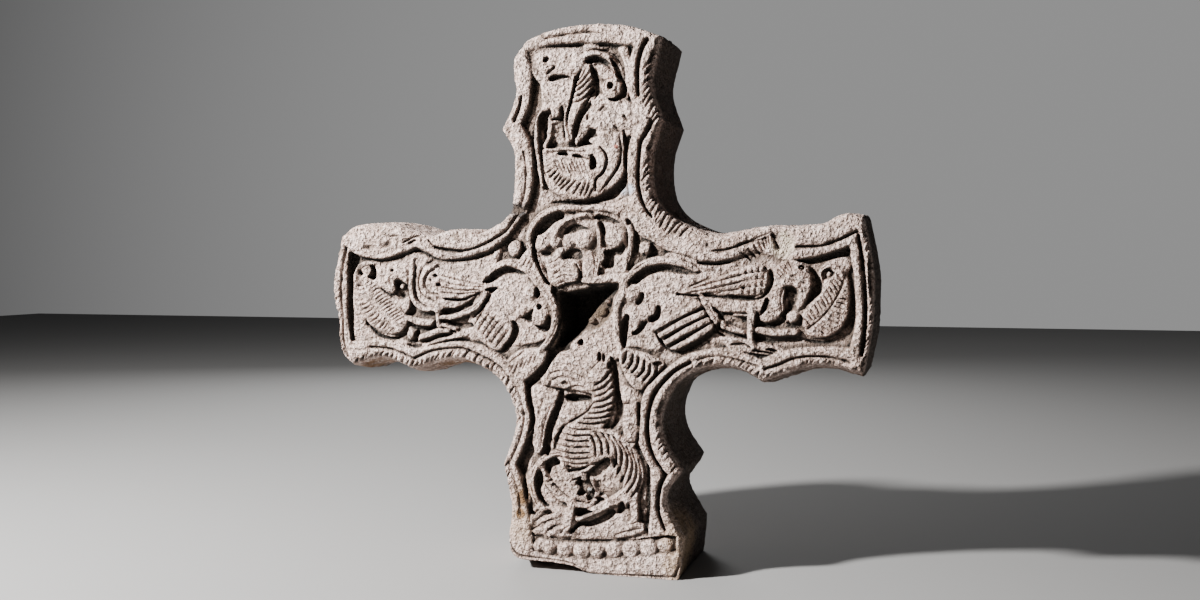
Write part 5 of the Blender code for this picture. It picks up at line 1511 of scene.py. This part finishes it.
def bare_stone(tree, patterns):
    """Pale pinkish grey in wide clouds, mottled and gritty."""
    clouds = ramp(tree, (-1800, 600), patterns["cloud"], 0.38, 0.62)
    colour = blend(tree, (-1600, 600), clouds, (0.50, 0.354, 0.298), (0.62, 0.462, 0.400))
    for number, (pattern, start, full, strength, tint) in enumerate(LAYERS):
        low = 500 - 120 * number
        mask = ramp(tree, (-1800, low), patterns[pattern], start, full)
        colour = tinted(tree, (-1500 + 100 * number, low), mask, strength, colour, tint)
    return colour


def earth_and_painted_shade(tree, patterns, place, colour):
    """Brown on what faces down, part earth and part painted shade, and painted shade on what faces
    right, both behind the front.
    """
    geometry = add_node(tree, "ShaderNodeNewGeometry", (-2400, -1000))
    facing = add_node(tree, "ShaderNodeSeparateXYZ", (-2200, -1000))
    parts = add_node(tree, "ShaderNodeSeparateXYZ", (-2200, -1200))
    tree.links.new(place, parts.inputs["Vector"])
    tree.links.new(geometry.outputs["Normal"], facing.inputs["Vector"])
    behind = ramp(tree, (-2000, -1200), parts.outputs["Y"], -0.092, -0.070)
    down = ramp(tree, (-2000, -1000), facing.outputs["Z"], -0.10, -0.60)
    down = maths(tree, (-1700, -1000), "MULTIPLY", down, behind)
    patches = ramp(tree, (-1800, -1050), patterns["mottle"], 0.36, 0.60)
    brown_earth_and_shade = maths(tree, (-1600, -1000), "MULTIPLY", down, patches)
    colour = tinted(tree, (-1400, -1000), brown_earth_and_shade, 0.85, colour, (0.115, 0.066, 0.038))
    # Painted shade: the sides that face right, away from the lamp, are darkened near black
    right = ramp(tree, (-2000, -1150), facing.outputs["X"], 0.05, 0.60)
    painted_shade_on_right = maths(tree, (-1700, -1150), "MULTIPLY", behind, right)
    return tinted(tree, (-1400, -1150), painted_shade_on_right, 0.86, colour, (0.042, 0.034, 0.028))


def stained_and_shaded(tree, patterns, place, colour):
    patches = ramp(tree, (-1400, -1300), patterns["mottle"], 0.30, 0.55)
    for number, (middle, across, tint, strength) in enumerate(STAINS_AND_SHADES):
        low = -1500 - 220 * number
        mask = spot(tree, (-1200, low), place, middle, across)
        mask = maths(tree, (-600, low), "MULTIPLY", mask, patches)
        colour = tinted(tree, (-400, low), mask, strength, colour, tint)
    return colour


def dirt_and_painted_shade(tree, patterns, colour):
    """Painted shade in recesses and on faces turned from the light, with some dirt: brown at first,
    then near black.
    """
    dirt_and_shade = add_node(tree, "ShaderNodeAttribute", (-2400, -700), attribute_name="dirt_and_shade")
    uneven = maths(tree, (-1900, -800), "SUBTRACT", patterns["grit"], 0.5)
    uneven = maths(tree, (-1800, -760), "MULTIPLY", uneven, 0.45)
    shade_and_dirt_amount = maths(tree, (-1600, -700), "ADD", dirt_and_shade.outputs["Fac"], uneven)
    brown_dirt_and_shade = ramp(tree, (-1400, -650), shade_and_dirt_amount, 0.0, 0.35)
    colour = tinted(tree, (-1200, -650), brown_dirt_and_shade, 0.85, colour, (0.085, 0.060, 0.045))
    # Near black painted shade where the stone is deepest or turned from the lamp
    painted_black_shade = ramp(tree, (-1400, -750), shade_and_dirt_amount, 0.22, 0.70)
    return tinted(tree, (-1200, -750), painted_black_shade, 0.96, colour, (0.011, 0.009, 0.007))


def stone_grain(tree, patterns):
    """The grain of the stone, finer than the mesh."""
    grit = maths(tree, (-1800, 900), "MULTIPLY", patterns["grit"], 0.8)
    speck = maths(tree, (-1800, 800), "MULTIPLY", patterns["speck"], 0.3)
    grain = maths(tree, (-1600, 900), "ADD", grit, speck)
    grain = maths(tree, (-1400, 1000), "ADD", patterns["pock"], grain)
    bump = add_node(tree, "ShaderNodeBump", (-400, -300))
    bump.inputs["Strength"].default_value = 1.0
    bump.inputs["Distance"].default_value = 0.007
    tree.links.new(grain, bump.inputs["Height"])
    return bump.outputs["Normal"]


def limestone():
    material = bpy.data.materials.new("weathered_limestone")
    material.use_nodes = True
    tree = material.node_tree
    shader = tree.nodes["Principled BSDF"]
    shader.inputs["Specular IOR Level"].default_value = 0.25
    place = add_node(tree, "ShaderNodeTexCoord", (-2400, 0)).outputs["Object"]
    patterns = {
        "cloud": noise(tree, (-2000, 600), place, scale=7.0, detail=5.0, roughness=0.6),
        "mottle": noise(tree, (-2000, 400), place, scale=42.0, detail=5.0, roughness=0.65),
        "pock": noise(tree, (-2000, 300), place, scale=100.0, detail=1.0, roughness=0.5),
        "grit": noise(tree, (-2000, 200), place, scale=215.0, detail=1.0, roughness=0.6),
        "speck": noise(tree, (-2000, 0), place, scale=420.0, detail=1.0, roughness=0.5),
    }
    colour = bare_stone(tree, patterns)
    colour = earth_and_painted_shade(tree, patterns, place, colour)
    colour = stained_and_shaded(tree, patterns, place, colour)
    colour = dirt_and_painted_shade(tree, patterns, colour)
    tree.links.new(colour, shader.inputs["Base Color"])
    roughness = ramp(tree, (-600, 0), patterns["speck"], -1.2, 0.9)
    tree.links.new(roughness, shader.inputs["Roughness"])
    tree.links.new(stone_grain(tree, patterns), shader.inputs["Normal"])
    return material


# The studio


def plain_finish(name, colour, roughness):
    material = bpy.data.materials.new(name)
    material.use_nodes = True
    shader = material.node_tree.nodes["Principled BSDF"]
    shader.inputs["Base Color"].default_value = (*colour, 1)
    shader.inputs["Roughness"].default_value = roughness
    return material


def pale_floor():
    bpy.ops.object.select_all(action="DESELECT")
    bpy.ops.mesh.primitive_plane_add(size=FLOOR_WIDTH, location=(0, 0, -0.0005))
    floor = bpy.context.object
    floor.name = "pale_floor"
    bpy.ops.object.transform_apply(location=True, rotation=True, scale=True)
    floor.data.materials.append(plain_finish("pale_floor", (0.27, 0.268, 0.265), 0.9))


def soft_lamp(name, place, aim, size, power, colour=(1, 1, 1)):
    lamp = bpy.data.lights.new(name, "AREA")
    lamp.shape = "DISK"
    lamp.size = size
    lamp.energy = power
    lamp.color = colour
    holder = bpy.data.objects.new(name, lamp)
    bpy.context.scene.collection.objects.link(holder)
    holder.location = place
    holder.rotation_euler = (Vector(aim) - Vector(place)).to_track_quat("-Z", "Y").to_euler()


def studio_surround():
    """A dim even surround, paler to the back."""
    world = bpy.data.worlds.new("studio")
    world.use_nodes = True
    tree = world.node_tree
    surround = tree.nodes["Background"]
    direction = add_node(tree, "ShaderNodeTexCoord", (-800, 0)).outputs["Generated"]
    parts = add_node(tree, "ShaderNodeSeparateXYZ", (-600, 0))
    tree.links.new(direction, parts.inputs["Vector"])
    backward = ramp(tree, (-400, 0), parts.outputs["Y"], 0.55, 0.98)
    tone = blend(tree, (-200, 0), backward, (0.012, 0.012, 0.013), (0.30, 0.30, 0.30))
    tree.links.new(tone, surround.inputs["Color"])
    bpy.context.scene.world = world


def set_camera():
    """The photograph's view, from a little to the right and a little above."""
    turn, lift = math.radians(VIEW_TURN), math.radians(VIEW_LIFT)
    back = Vector((
        math.sin(turn) * math.cos(lift), -math.cos(turn) * math.cos(lift), math.sin(lift)
    ))
    camera = bpy.data.objects.new("camera", bpy.data.cameras.new("camera"))
    camera.data.lens = LENS
    camera.data.sensor_width = 36
    camera.location = Vector(VIEW_AIM) + back * VIEW_DISTANCE
    camera.rotation_euler = (-back).to_track_quat("-Z", "Y").to_euler()
    bpy.context.scene.collection.objects.link(camera)
    bpy.context.scene.camera = camera


stone = carve_stone()
stone.data.materials.clear()
stone.data.materials.append(limestone())
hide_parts("cross_head")
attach(stone, "root")

pale_floor()
soft_lamp(
    "main_lamp", place=(-1.95, -1.62, 1.75), aim=(0, -0.1, 0.42), size=0.22, power=390,
    colour=(1.0, 0.985, 0.970),
)
soft_lamp("back_lamp", place=(-1.3, 2.7, 1.7), aim=(0, 0.1, 0.42), size=1.3, power=50)
studio_surround()
set_camera()
